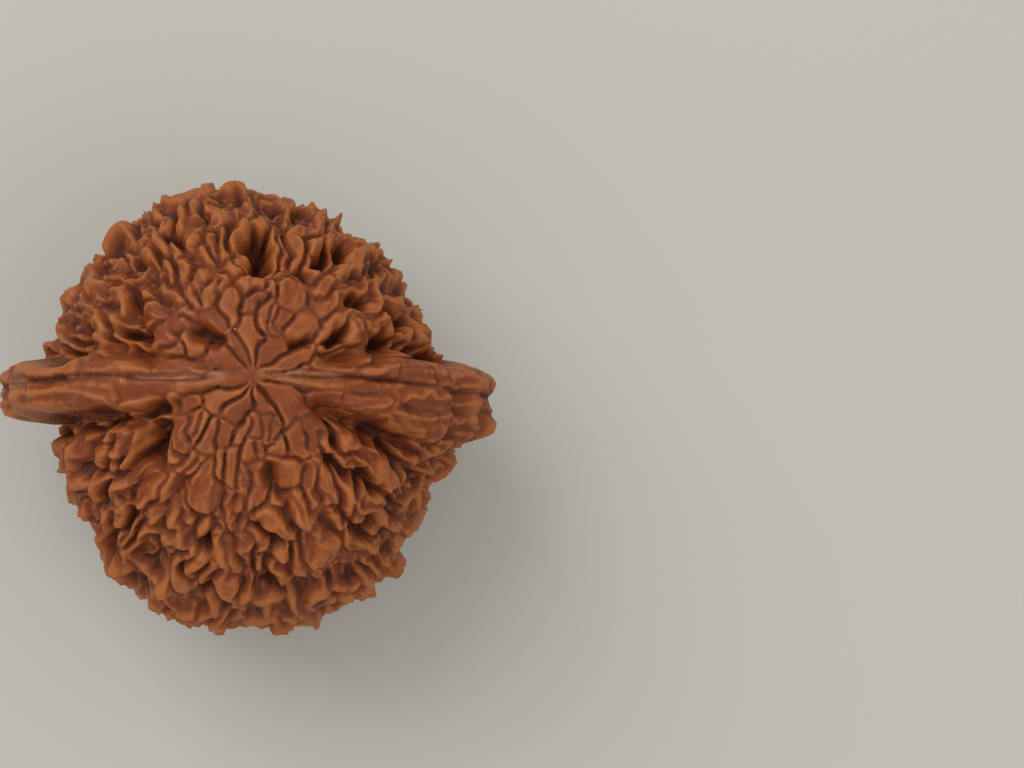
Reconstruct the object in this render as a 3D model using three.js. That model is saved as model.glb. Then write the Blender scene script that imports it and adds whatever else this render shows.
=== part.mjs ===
// A walnut in its shell, standing on its base, with the tip up.
// Millimetres, +Z up. The flange around the seam runs along X.
import * as THREE from "three";
import { mergeVertices } from "three/addons/utils/BufferGeometryUtils.js";

// Sizes of the shell
const FLANGE_SPAN = 47.0;
const FLANGE_TOP = 19.9;
const BODY_TOP = 19.6;
const BODY_BOTTOM = 19.4;
const FLAT_LIFT = 0.9;
const FLANGE_ROUND = 2.2;
const BODY_ROUND = 2.3;

// Outline of the body from above: angle in degrees, radius from the middle of the flange
const OUTLINE = [
  [0, 19.6], [10, 18.4], [21, 17.6], [35, 17.6], [52, 18.0], [70, 18.1], [84, 17.8], [95, 18.8],
  [110, 19.2], [125, 19.5], [140, 18.5], [160, 18.8], [176, 19.0], [186, 19.5], [195, 18.6], [212, 19.1],
  [226, 19.7], [236, 21.4], [252, 22.9], [270, 22.5], [286, 23.1], [308, 22.3], [318, 20.8],
  [332, 19.4], [341, 20.4], [350, 21.0], [360, 19.6],
];
const OUTLINE_INSET = 0.4;

// Course of the seam on the upper half: x, and how far in y it strays from the middle plane
const SEAM_COURSE = [
  [-23.5, 0.2], [-22, 0.2], [-19.5, -0.3], [-17, -0.2], [-13.5, 0.1], [-11.5, -0.05], [-9, -0.5],
  [-6, -0.6], [-3, -0.3], [0, 0], [6, -0.25], [9, -0.1], [12, -0.3], [15, -0.5], [18, -0.8],
  [20.5, -0.4], [23.5, 0],
];
const SEAM_DEPTH = 0.35;
const SEAM_WIDTH = 0.35;
const SEAM_SWAY = 0.3;

// Flange: half thickness at the tip, what it gains towards its ends, its flare at the front, the
// share it loses on the left, how uneven its sides and crest are, and how steeply its sides fall
const FLANGE_HALF_TIP = 0.5;
const FLANGE_GAIN_BACK = 1.9;
const FLANGE_GAIN_FRONT = 2.7;
const FLANGE_FLARE = 1.5;
const FLANGE_END_LOSS = 0.22;
const FLANGE_UNEVEN = 0.15;
const FLANGE_CREST = 0.5;
const CREST_LEFT = 0.3;
const FLANGE_EDGE = 6;
const FLANGE_INSET = 0.3;

// Gutters beside the flange
const GUTTER_OFFSET = 0.85;
const GUTTER_WIDTH = 0.85;
const GUTTER_DEPTH_BACK = 1.3;
const GUTTER_DEPTH_FRONT = 1.8;

// Plates and knobs: how they narrow at the inner end, depth of the grooves between them, bend of
// their edges, and depth of the ground between the knobs
const PETAL_TAPER = 0.85;
const PLATE_TAPER = 0.35;
const GROOVE_TIP = 0.32;
const GROOVE_OUTER = 0.3;
const THIN_PLATE = [0.1, 0.5];
const BEND_LARGE = 0.3;
const BEND_SMALL = 0.12;
const KNOB_DROP = 0.5;
const KNOB_DROP_LOSS = 0.32;
const KNOB_SLOPE = 0.22;
const CROWN = 0.12;

// Folds of the outer zone: spacing of their waves and their depth
const FOLD_LARGE = 11.0;
const FOLD_LARGE_DEPTH = 1.2;
const FOLD_MIDDLE = 5.0;
const FOLD_MIDDLE_DEPTH = 1.5;
const FOLD_SMALL = 2.1;
const FOLD_SMALL_DEPTH = 0.42;
const FAN_STRETCH = 0.42;

// Ridges along the flange: spacing across it, how far they are drawn out along it, and depth
const RIDGE_FINE = 2.6;
const RIDGE_FINE_DRAWN = 0.12;
const RIDGE_FINE_DEPTH = 0.32;
const RIDGE_BROAD = 5.0;
const RIDGE_BROAD_DRAWN = 0.5;
const RIDGE_BROAD_DEPTH = 0.35;
const RIDGE_DROP = 0.15;
const HEIGHT_LIMIT = 0.8;

// Base: a flat spot and the three knobs that the nut stands on
const BASE_MIDDLE = [0, -1.75];
const FLAT_RADIUS = 3.0;
const CLEAR_OF_FLOOR = 0.15;
const FOOT_ANGLES = [90, 210, 330];
const FOOT_RADIUS = 7.2;
const FOOT_WIDTH = 1.3;
const FOOT_DROP = 0.9;
const FOOT_TIP = 0.9;

// Mesh: rings of triangles from an icosahedron, drawn closer towards the tip
const MESH_DETAIL = 23;
const MESH_PULL = 1.15;

// Line of sight from above, as a slope in x and y, from a place this far up. Plates and hollows
// are placed as seen along it: x to the right, y up, with the middle of the flange at SEEN_MIDDLE.
const SIGHT = [0.016, 0.06];
const SIGHT_DISTANCE = 240;
const SEEN_MIDDLE = [0, 1.7];

// Plates around the tip: spine ends x1, y1, x2, y2, half width, rise, dish
const PETALS = [
  [-0.1, 3.15, -3.2, 4.9, 0.5, 0.15, 0], [0.1, 3.5, -1.4, 6.2, 0.6, -0.35, 0.2],
  [-1.9, 7.2, -2.9, 8.6, 0.65, -0.3, 0.2], [0.45, 3.7, 0.1, 8.2, 0.6, 0.1, 0],
  [0.7, 3.4, 2.6, 5.6, 0.6, -0.1, 0.1], [1.0, 3.2, 5.6, 4.7, 0.75, 0.25, 0],
  [0.0, 2.6, -3.5, -0.2, 0.8, 0.25, 0], [0.25, 2.4, -1.3, -0.9, 0.75, 0, 0],
  [0.55, 2.4, 1.9, -0.4, 0.55, 0.05, 0], [0.9, 2.6, 4.5, 0.0, 1.1, 0.25, 0],
];

// Long plates of the flange
const FLANGE_PLATES = [
  [-4.4, 3.3, -8.6, 3.5, 0.5, 0.15, 0], [-9.6, 3.4, -11.8, 3.6, 0.35, 0, 0],
  [-12.6, 3.45, -15.6, 3.35, 0.45, -0.1, 0], [-16.6, 3.5, -21.6, 3.3, 0.75, 0.2, 0],
  [-0.8, 2.8, -6.4, 1.9, 0.3, -0.1, 0], [-7.2, 1.7, -12.0, 1.6, 0.55, 0, 0],
  [-12.8, 1.3, -21.5, 1.0, 1.1, 0.25, 0], [-8.8, 0.7, -11.8, 0.4, 0.5, 0, 0],
  [-5.1, 0.4, -6.0, 0.2, 0.4, 0.1, 0], [-6.9, 0.6, -7.3, -0.1, 0.4, 0, 0],
  [2.6, 3.2, 5.4, 3.3, 0.2, -0.1, 0], [6.6, 3.8, 10.6, 4.2, 0.9, 0.1, 0],
  [11.6, 3.5, 14.4, 3.3, 0.7, 0.1, 0], [15.3, 3.1, 17.6, 2.9, 0.75, 0.1, 0],
  [18.4, 3.4, 19.4, 3.8, 0.8, 0.1, 0.2], [20.2, 2.8, 22.2, 2.6, 0.7, 0, 0.2],
  [7.3, 5.2, 8.2, 5.8, 0.42, 0.1, 0], [1.2, 2.85, 8.8, 2.2, 0.3, -0.1, 0],
  [9.6, 2.0, 15.0, 1.6, 0.35, 0, 0], [6.4, 1.1, 8.8, 1.1, 0.55, 0.1, 0],
  [9.7, 0.9, 13.4, 0.4, 0.55, 0.05, 0], [15.6, 1.1, 19.0, 0.6, 0.7, 0.1, 0],
  [20.2, 0.9, 22.3, 0.6, 0.9, 0.1, 0.3], [14.2, -0.3, 16.8, -2.4, 0.35, 0, 0],
  [13.4, -1.4, 17.6, -4.2, 0.4, 0.2, 0], [16.2, -1.2, 18.4, -3.9, 0.4, 0.1, 0],
  [17.6, -0.8, 19.2, -3.4, 0.45, 0, 0], [19.4, -0.8, 20.8, -3.2, 0.8, 0, 0.2],
];

// Ridges and knobs on the front half
const FRONT_PLATES = [
  [-6.2, -1.9, -6.2, -3.5, 0.6, 0.1, 0.35], [-5.15, -0.9, -5.1, -2.4, 0.22, 0, 0],
  [-4.4, -1.3, -4.7, -3.0, 0.28, 0, 0], [-3.3, -2.2, -4.1, -4.0, 0.45, 0, 0],
  [-1.7, -2.1, -2.3, -3.2, 0.45, -0.3, 0], [0.1, -1.8, -0.9, -3.3, 0.33, 0, 0],
  [0.75, -1.4, 0.9, -2.6, 0.25, 0, 0], [0.6, -3.4, 0.55, -5.0, 0.5, 0.05, 0],
  [-1.2, -4.4, -1.35, -7.2, 0.5, 0.1, 0], [1.8, -1.2, 1.9, -3.4, 0.25, -0.1, 0],
  [1.35, -3.6, 1.3, -4.9, 0.15, 0, 0], [2.35, -1.8, 2.4, -3.0, 0.25, 0, 0],
  [2.9, -3.0, 3.25, -4.5, 0.42, 0.1, 0], [4.9, -2.2, 5.2, -4.6, 0.6, 0.1, 0.1],
  [6.2, -2.2, 6.4, -4.4, 0.45, -0.2, 0.2], [7.0, -3.3, 8.8, -4.4, 0.45, 0.1, 0],
  [8.2, -0.9, 9.9, -3.5, 0.7, 0.3, 0.1], [-3.9, -5.8, -4.2, -9.2, 1.0, 0.1, 0.15],
  [-2.45, -4.2, -2.4, -6.4, 0.15, -0.1, 0], [-5.2, -4.6, -6.5, -6.2, 0.25, 0, 0],
  [-4.3, -4.9, -5.6, -6.5, 0.2, 0, 0], [-7.4, -7.2, -7.9, -8.4, 0.55, 0, 0],
  [-1.55, -8.3, -1.6, -9.2, 0.3, 0, 0], [-1.4, -9.9, -1.25, -11.5, 0.38, 0.1, 0],
  [-0.1, -6.2, -0.55, -8.0, 0.28, 0, 0], [-0.45, -8.5, -0.7, -9.8, 0.25, 0, 0],
  [2.9, -5.9, 4.2, -7.2, 0.65, 0.2, 0.2], [1.5, -6.4, 0.9, -9.2, 0.55, 0.1, 0],
  [4.9, -8.4, 5.3, -10.6, 0.65, 0.3, 0], [2.9, -8.6, 3.05, -8.9, 0.22, 0.2, 0],
  [2.2, -10.4, 3.9, -12.4, 0.85, 0.5, 0], [1.1, -12.2, 1.3, -14.0, 0.3, 0.1, 0],
  [3.4, -13.2, 2.8, -14.4, 0.55, 0.4, 0], [6.0, -12.2, 7.6, -13.9, 1.0, 0.2, 0.2],
  [4.9, -14.2, 5.3, -15.8, 0.75, 0.3, 0.1], [1.6, -15.0, 1.6, -16.1, 0.45, 0.2, 0],
  [2.8, -15.8, 3.3, -16.7, 0.55, 0.1, 0.1], [-0.15, -11.6, -0.05, -17.6, 0.42, 0.3, 0],
  [-1.6, -13.2, -1.5, -15.4, 0.55, 0.3, 0.1], [-2.4, -12.9, -1.3, -17.4, 0.25, 0.3, 0],
  [-2.2, -12.2, -2.6, -12.4, 0.35, 0.1, 0], [-3.9, -11.4, -4.3, -12.2, 0.45, 0.2, 0],
  [-2.5, -11.0, -2.5, -11.6, 0.3, 0.2, 0], [-4.4, -13.6, -4.8, -16.0, 0.55, 0.3, 0],
  [-3.1, -15.2, -3.7, -16.6, 0.35, 0.3, 0], [-6.6, -9.4, -7.2, -11.3, 0.38, 0.15, 0],
  [-5.9, -9.6, -6.0, -10.8, 0.3, 0, 0], [-6.4, -12.4, -7.6, -12.5, 0.35, 0.1, 0],
  [-6.9, -13.6, -7.0, -14.4, 0.38, 0.1, 0], [-5.3, -13.0, -5.6, -14.4, 0.35, 0.1, 0],
  [-6.2, -14.8, -6.5, -16.8, 0.35, 0.3, 0], [-7.0, -15.4, -7.7, -17.0, 0.4, 0.2, 0],
  [7.2, -6.6, 8.4, -8.8, 0.75, 0.1, 0.2], [6.1, -5.8, 6.3, -9.0, 0.22, 0, 0],
  [8.4, -10.0, 8.8, -11.2, 0.55, 0.1, 0], [9.4, -6.4, 10.0, -9.4, 0.45, 0.2, 0],
  [9.3, -11.2, 9.6, -12.9, 0.5, 0.2, 0], [11.6, -6.0, 13.4, -7.0, 0.6, 0.5, 0],
  [11.4, -8.3, 12.8, -9.5, 0.65, 0.3, 0], [9.0, -5.2, 10.2, -6.0, 0.35, 0.2, 0],
  [10.9, -5.4, 11.1, -6.0, 0.35, 0.3, 0], [10.8, -9.4, 11.1, -10.8, 0.4, 0.2, 0],
  [12.2, -10.4, 12.5, -12.0, 0.6, 0.1, 0.2], [11.2, -13.0, 12.4, -13.2, 0.4, 0.2, 0],
  [13.4, -10.4, 13.8, -12.0, 0.45, 0.1, 0], [14.9, -9.6, 15.1, -11.4, 0.6, 0.1, 0],
  [14.6, -7.6, 15.0, -8.3, 0.5, 0.2, 0], [-8.4, -1.4, -7.8, -1.7, 0.4, 0.1, 0],
  [-7.8, -2.6, -6.9, -5.2, 0.22, 0.3, 0], [-11.2, -2.9, -13.2, -5.6, 0.38, 0.5, 0],
  [-9.9, -2.8, -11.8, -5.4, 0.38, 0.3, 0], [-10.6, -0.8, -11.0, -1.4, 0.3, 0.2, 0],
  [-15.0, -1.0, -16.2, -1.7, 0.35, 0.2, 0], [-14.2, -1.3, -15.0, -2.3, 0.35, 0, 0],
  [-13.4, -2.6, -13.6, -3.4, 0.3, 0.2, 0], [-13.8, -4.4, -14.2, -5.8, 0.5, 0.2, 0],
  [-13.2, -7.0, -14.2, -7.6, 0.5, 0.4, 0], [-11.2, -7.2, -12.0, -7.6, 0.4, 0.2, 0],
  [-8.4, -7.6, -9.4, -9.0, 0.4, 0.1, 0], [-10.2, -10.8, -11.4, -13.4, 0.4, 0.3, 0],
  [-8.9, -11.6, -10.6, -14.0, 0.6, 0.2, 0.1], [-12.2, -9.0, -13.0, -10.8, 0.38, 0.3, 0],
  [-14.6, -8.0, -15.2, -9.2, 0.4, 0.2, 0], [-13.8, -10.0, -14.1, -10.9, 0.35, 0.2, 0],
  [-12.8, -12.0, -13.6, -13.6, 0.4, 0.2, 0], [-8.6, -9.8, -8.9, -10.8, 0.5, 0.1, 0],
];

// Ridges and knobs on the back half
const BACK_PLATES = [
  [-1.7, 10.4, -1.2, 8.6, 0.6, 0.15, 0], [0.2, 9.3, 1.1, 10.3, 0.45, 0.1, 0],
  [1.5, 7.4, 1.7, 9.6, 0.42, 0, 0], [2.35, 7.2, 2.5, 8.9, 0.2, 0, 0],
  [2.0, 10.9, 2.3, 11.6, 0.28, 0.1, 0], [4.1, 9.9, 4.2, 11.4, 1.1, 0.2, 0.3],
  [3.4, 12.4, 3.3, 12.7, 0.35, 0.2, 0], [5.1, 12.4, 5.2, 12.6, 0.35, 0.2, 0],
  [-0.9, 11.6, 0.9, 11.7, 0.55, 0.4, 0], [-1.8, 13.2, -1.5, 12.4, 0.45, 0.4, 0],
  [-0.7, 13.6, -0.5, 14.5, 0.38, 0.4, 0], [-1.1, 15.0, -0.7, 16.8, 0.5, 0.6, 0],
  [2.3, 13.4, 2.2, 16.2, 0.45, 0.5, 0], [0.9, 12.8, 1.8, 13.1, 0.2, 0.3, 0],
  [3.3, 13.2, 3.3, 16.4, 0.15, 0, 0], [4.6, 13.8, 5.2, 16.8, 0.55, 0.4, 0],
  [5.9, 14.2, 6.6, 12.6, 0.45, 0.3, 0], [6.3, 15.6, 6.5, 15.0, 0.45, 0.3, 0],
  [-3.5, 9.6, -3.6, 10.9, 0.5, 0, 0], [-2.5, 11.3, -2.5, 11.6, 0.3, 0, 0],
  [-4.8, 11.4, -4.6, 12.0, 0.35, 0, 0], [-5.6, 10.8, -5.0, 9.6, 0.22, 0, 0],
  [-5.9, 12.0, -6.2, 13.3, 0.55, 0.4, 0], [-4.5, 13.6, -4.6, 14.5, 0.32, 0.3, 0],
  [-5.1, 14.8, -4.9, 15.8, 0.35, 0.3, 0], [-6.6, 14.5, -6.6, 15.9, 0.3, 0.4, 0],
  [-2.5, 14.4, -2.4, 16.4, 0.35, 0.4, 0], [-3.3, 14.6, -3.4, 16.0, 0.25, 0.2, 0],
  [-2.6, 17.2, -3.5, 18.2, 0.4, 0.5, 0], [-6.2, 17.4, -6.5, 18.8, 0.45, 0.6, 0],
  [-7.8, 17.2, -7.9, 18.4, 0.35, 0.4, 0], [-7.6, 14.6, -8.4, 16.2, 0.4, 0.3, 0],
  [-7.4, 12.6, -7.9, 13.2, 0.4, 0.1, 0], [-8.3, 11.4, -6.9, 9.9, 0.3, 0.1, 0],
  [-6.3, 9.2, -5.4, 8.6, 0.3, 0, 0], [-6.2, 7.8, -5.6, 7.4, 0.3, 0, 0],
  [-5.6, 6.8, -4.8, 5.3, 0.42, 0.1, 0], [-8.8, 8.9, -8.9, 9.4, 0.4, 0.3, 0],
  [-10.4, 11.4, -8.8, 10.6, 0.35, 0.3, 0], [-11.9, 9.4, -12.4, 11.0, 0.3, 0.4, 0],
  [-12.4, 7.6, -12.6, 8.6, 0.5, 0.3, 0], [-13.6, 5.2, -14.0, 6.2, 0.7, 0.3, 0],
  [-12.3, 6.6, -10.2, 5.5, 0.35, 0.3, 0], [-9.0, 5.8, -7.4, 6.6, 0.35, 0.1, 0],
  [-8.0, 5.3, -6.8, 5.5, 0.35, -0.2, 0], [-16.3, 5.2, -17.2, 7.2, 0.32, 0.5, 0],
  [-18.6, 6.0, -18.9, 7.8, 0.65, 0.4, 0], [-9.3, 13.4, -9.6, 15.2, 0.35, 0.4, 0],
  [-11.4, 14.2, -11.5, 14.7, 0.3, 0.3, 0], [-10.3, 12.6, -10.9, 12.5, 0.25, 0.3, 0],
  [7.2, 7.0, 8.4, 8.6, 0.55, 0.2, 0.1], [9.9, 6.2, 9.7, 7.2, 0.35, 0.3, 0],
  [4.2, 7.0, 5.5, 8.2, 0.5, 0, 0], [2.7, 7.6, 3.9, 8.6, 0.3, 0, 0],
  [6.9, 9.2, 8.3, 10.1, 0.28, 0.1, 0], [7.0, 10.9, 7.9, 11.8, 0.45, 0.2, 0],
  [8.6, 12.0, 8.8, 13.4, 0.45, 0.3, 0], [12.2, 9.9, 12.4, 11.4, 0.4, 0.4, 0],
  [12.4, 7.4, 12.9, 8.8, 0.4, 0.4, 0], [14.0, 5.2, 15.0, 7.6, 0.35, 0.5, 0],
  [15.6, 5.8, 16.4, 6.8, 0.6, 0.2, 0], [10.3, 13.4, 10.6, 15.0, 0.4, 0.4, 0],
  [7.8, 14.0, 8.6, 15.4, 0.4, 0.3, 0],
];

// Hollows: ends x1, y1, x2, y2, radius, depth
const HOLLOWS = [
  [-8.2, -0.5, -9.4, -1.1, 0.8, 1.7], [-12.0, -1.3, -13.6, -1.9, 0.8, 1.9],
  [-16.9, -1.5, -17.3, -2.4, 0.6, 1.5], [-14.4, -3.0, -15.6, -3.4, 0.9, 1.2],
  [-8.2, -2.8, -9.6, -5.2, 1.0, 2.2], [2.4, -7.0, 3.4, -8.0, 0.7, 0.9],
  [2.0, -11.8, 2.6, -13.6, 0.5, 1.0], [8.0, -2.2, 9.2, -4.0, 0.4, 1.0],
  [12.6, -2.4, 15.0, -4.4, 1.0, 2.2], [8.2, -5.4, 9.6, -6.6, 0.5, 1.2],
  [11.2, -7.1, 12.6, -7.6, 0.6, 1.6], [14.2, -9.2, 15.0, -9.6, 0.8, 1.3],
  [10.9, -11.6, 11.6, -12.2, 0.7, 1.2], [-4.0, -13.0, -4.2, -13.4, 0.5, 1.4],
  [-3.4, -17.4, -4.0, -18.0, 0.7, 1.3], [2.8, -17.4, 3.0, -18.2, 0.6, 1.2],
  [0.8, 13.6, 0.9, 16.2, 0.75, 2.2], [5.4, 12.9, 5.9, 12.6, 0.5, 0.8],
  [-4.4, 7.0, -3.2, 6.4, 0.6, 1.1], [-10.2, 6.6, -11.6, 7.2, 0.7, 1.8],
  [-10.6, 8.6, -10.9, 10.6, 1.0, 1.0], [-15.4, 5.6, -15.9, 7.4, 0.6, 1.9],
  [-9.8, 4.9, -10.6, 4.9, 0.6, 0.9], [-10.6, 13.2, -10.7, 14.0, 0.55, 1.6],
  [-6.0, 16.2, -7.2, 16.6, 0.6, 1.5], [8.2, 6.4, 8.7, 7.2, 0.6, 1.5],
  [10.6, 9.6, 10.8, 10.6, 0.5, 1.6], [12.6, 5.6, 13.3, 6.6, 0.7, 1.8],
  [8.6, 14.2, 9.4, 15.0, 0.6, 1.7], [6.7, 13.6, 7.3, 14.6, 0.5, 1.3],
  [4.4, 5.9, 5.2, 6.2, 0.5, 0.8], [15.0, 8.2, 14.2, 8.6, 0.7, 1.0],
];

// Small seeded number source
const LCG_STEP = 1664525;
const LCG_ADD = 1013904223;
const LCG_SIZE = 4294967296;
function makeDraw(seed) {
  let state = seed >>> 0;
  return (low = 0, high = 1) => {
    state = (Math.imul(state, LCG_STEP) + LCG_ADD) >>> 0;
    return low + ((high - low) * state) / LCG_SIZE;
  };
}

const clamp = (v, low, high) => Math.min(high, Math.max(low, v));
const smooth = (low, high, v) => {
  const t = clamp((v - low) / (high - low), 0, 1);
  return t * t * (3 - 2 * t);
};

// A field of sine waves in random directions, with unit variance
const WAVE_SPREAD = 0.25;
const WARM_UP = 4;
function makeWaves(wavelength, seed, count) {
  const draw = makeDraw(seed);
  for (let i = 0; i < WARM_UP; i += 1) draw();
  const terms = [];
  for (let i = 0; i < count; i += 1) {
    const z = draw(-1, 1);
    const around = draw(0, 2 * Math.PI);
    const k = (2 * Math.PI) / (wavelength * draw(1 - WAVE_SPREAD, 1 + WAVE_SPREAD));
    const phase = draw(0, 2 * Math.PI);
    const s = Math.sqrt(1 - z * z);
    terms.push([k * s * Math.cos(around), k * s * Math.sin(around), k * z, phase]);
  }
  const gain = Math.sqrt(2 / count);
  return (x, y, z) => {
    let sum = 0;
    for (const t of terms) sum += Math.sin(x * t[0] + y * t[1] + z * t[2] + t[3]);
    return sum * gain;
  };
}

// The second column of a table at a value of its first, with soft steps between its rows
function eased(table, value) {
  let k = table.length - 2;
  while (k > 0 && table[k][0] > value) k -= 1;
  const [from, to] = [table[k], table[k + 1]];
  return from[1] + (to[1] - from[1]) * smooth(from[0], to[0], value);
}

// Body: an outline swept down to the tip and the base
function outlineRadius(angle) {
  return eased(OUTLINE, (THREE.MathUtils.radToDeg(angle) + 360) % 360) - OUTLINE_INSET;
}

function bodyRadius(d) {
  const flat = Math.hypot(d.x, d.y) / outlineRadius(Math.atan2(d.y, d.x));
  const tall = Math.abs(d.z) / (d.z > 0 ? BODY_TOP : BODY_BOTTOM);
  return (flat ** BODY_ROUND + tall ** BODY_ROUND) ** (-1 / BODY_ROUND);
}

const seamWaves = makeWaves(11.0, 11, 16);
const flangeWidth = makeWaves(6.0, 12, 18);
const flangeCrest = makeWaves(4.2, 13, 16);
const gutterWaves = makeWaves(7.0, 14, 18);
const SIDES_APART = 40;

function flangeHalf(side, x, z, back) {
  const slender = 1 - FLANGE_END_LOSS * smooth(-7, -15, x);
  if (back) return FLANGE_HALF_TIP + FLANGE_GAIN_BACK * smooth(0.1, 0.95, side) * slender;
  const flare = FLANGE_FLARE * smooth(12, 19, x) * smooth(-4, 6, z);
  return FLANGE_HALF_TIP + (FLANGE_GAIN_FRONT * smooth(0.05, 0.65, side) + flare) * slender;
}

// Body with its flange and gutters, before the relief: radius along d, and where it lies
function shell(d) {
  const body = bodyRadius(d);
  const colat = Math.acos(clamp(d.z, -1, 1));
  const side = Math.sin(colat);
  const [x, z] = [d.x * body, d.z * body];
  const inPlane = Math.hypot(d.x, d.z) + 1e-9;
  const reach = d.z > 0 ? FLANGE_TOP : BODY_BOTTOM + FLANGE_INSET;
  const across = Math.abs(d.x) / inPlane / (FLANGE_SPAN / 2 - FLANGE_INSET);
  const upright = Math.abs(d.z) / inPlane / reach;
  const flange = (across ** FLANGE_ROUND + upright ** FLANGE_ROUND) ** (-1 / FLANGE_ROUND);
  const above = smooth(-6, 4, z);
  const sway = SEAM_SWAY * seamWaves(x, 0, z) * (1 - above) * smooth(0.1, 0.6, side);
  const y = d.y * body - eased(SEAM_COURSE, x) * above - sway;
  const shift = Math.sign(d.y) * SIDES_APART;
  const wide = 1 + FLANGE_UNEVEN * flangeWidth(x + shift, shift, z + shift);
  const half = flangeHalf(side, x, z, y > 0) * wide;
  const onFlange = 1 / (1 + (Math.abs(y) / half) ** FLANGE_EDGE);
  const lift = Math.max(flange - body, 0) * smooth(0, 0.25, side);
  const jagged = CREST_LEFT + (1 - CREST_LEFT) * smooth(-20, -12, x);
  const crest = FLANGE_CREST * flangeCrest(x, 0, z) * smooth(0.45, 0.9, side) * jagged;
  const offset = (Math.abs(y) - half - GUTTER_OFFSET) / GUTTER_WIDTH;
  const gutter = Math.exp(-offset * offset) * smooth(0.18, 0.5, side);
  const ribs = clamp(0.9 + 0.55 * gutterWaves(x, d.y * body, z), 0, 1.7);
  const depth = ribs * (y > 0 ? GUTTER_DEPTH_BACK : GUTTER_DEPTH_FRONT);
  const radius = body + (lift + crest) * onFlange - depth * gutter;
  return { radius, onFlange, y, half, side, colat };
}

// A point on the shell, found along the line of sight; higher places look larger
const SIGHT_STEPS = 26;
function onShell(seenX, seenY) {
  const at = (z) => {
    const size = 1 - z / SIGHT_DISTANCE;
    const x = (seenX - SEEN_MIDDLE[0]) * size - SIGHT[0] * z;
    return new THREE.Vector3(x, (seenY - SEEN_MIDDLE[1]) * size - SIGHT[1] * z, z);
  };
  let low = 0;
  let high = FLANGE_SPAN / 2 + 0.5;
  for (let i = 0; i < SIGHT_STEPS; i += 1) {
    const z = (low + high) / 2;
    const p = at(z);
    if (p.length() < shell(p.clone().normalize()).radius) low = z;
    else high = z;
  }
  const d = at(low).normalize();
  return d.multiplyScalar(shell(d).radius);
}

const direction = (colat, around) =>
  new THREE.Vector3(
    Math.sin(colat) * Math.cos(around),
    Math.sin(colat) * Math.sin(around),
    Math.cos(colat),
  );
const placed = (colat, around) => {
  const d = direction(colat, around);
  return d.clone().multiplyScalar(shell(d).radius);
};

// A straight spine between two points
function makeSpine(a, b, rest) {
  const ab = b.clone().sub(a);
  const reach = ab.length() / 2 + (rest.half ?? 0);
  return { a, ab, middle: a.clone().addScaledVector(ab, 0.5), reach, over: ab.lengthSq() + 1e-9, ...rest };
}

// Share of the way along a spine that is nearest to p
function alongSpine(p, s) {
  const dot = (p.x - s.a.x) * s.ab.x + (p.y - s.a.y) * s.ab.y + (p.z - s.a.z) * s.ab.z;
  return clamp(dot / s.over, 0, 1);
}

const awayFrom = (p, s, t) =>
  Math.hypot(p.x - s.a.x - s.ab.x * t, p.y - s.a.y - s.ab.y * t, p.z - s.a.z - s.ab.z * t);
const spineDistance = (p, s) => awayFrom(p, s, alongSpine(p, s));

const byHand = [...PETALS, ...FLANGE_PLATES, ...FRONT_PLATES, ...BACK_PLATES].map((row, i) => {
  const [x1, y1, x2, y2, half, rise, dish] = row;
  const taper = i < PETALS.length ? PETAL_TAPER : PLATE_TAPER;
  return makeSpine(onShell(x1, y1), onShell(x2, y2), { half, rise, dish, taper });
});
const clearOfHand = (p) => Math.min(...byHand.map((s) => spineDistance(p, s) - s.half));

const standsClear = (k, atEnds, atMiddle) => {
  const b = k.a.clone().add(k.ab);
  return clearOfHand(k.a) > atEnds && clearOfHand(b) > atEnds && clearOfHand(k.middle) > atMiddle;
};

// Rings of knobs over the rest of the body, from the tip to the base
const MEAN_RADIUS = 20.5;
const POLE_GAP = 0.1;
function ringKnobs(draw) {
  const knobs = [];
  let ring = POLE_GAP;
  while (ring < Math.PI - POLE_GAP) {
    const s = Math.sin(ring);
    const length = ring > 0.95 ? 3.2 : 2.6 + 3.0 * Math.min(1, s * 1.4);
    const width = 1.0 + 1.3 * Math.min(1, s * 1.6);
    const count = Math.max(7, Math.round((2 * Math.PI * MEAN_RADIUS * s) / width));
    const offset = draw();
    for (let j = 0; j < count; j += 1) {
      const around = (2 * Math.PI * (j + offset + draw(-0.28, 0.28))) / count;
      const colat = ring + (draw(-0.42, 0.42) * length) / MEAN_RADIUS;
      const reach = ((0.5 * length) / MEAN_RADIUS) * draw(0.35, 0.85);
      const lean = (reach * draw(-0.3, 0.3)) / Math.max(0.2, s);
      const half = draw(0.35, 0.75);
      const rise = 0.9 * (draw() - 0.45);
      const dish = Math.max(0, draw(-0.6, 0.7));
      const a = placed(colat - reach, around - lean);
      const b = placed(colat + reach, around + lean);
      knobs.push(makeSpine(a, b, { half, rise, dish, taper: PLATE_TAPER }));
    }
    ring += (0.85 * length) / MEAN_RADIUS;
  }
  return knobs.filter((k) => {
    const where = shell(k.middle.clone().normalize());
    return Math.abs(where.y) > where.half * 0.95 && standsClear(k, 0.3, 0.55);
  });
}

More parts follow.
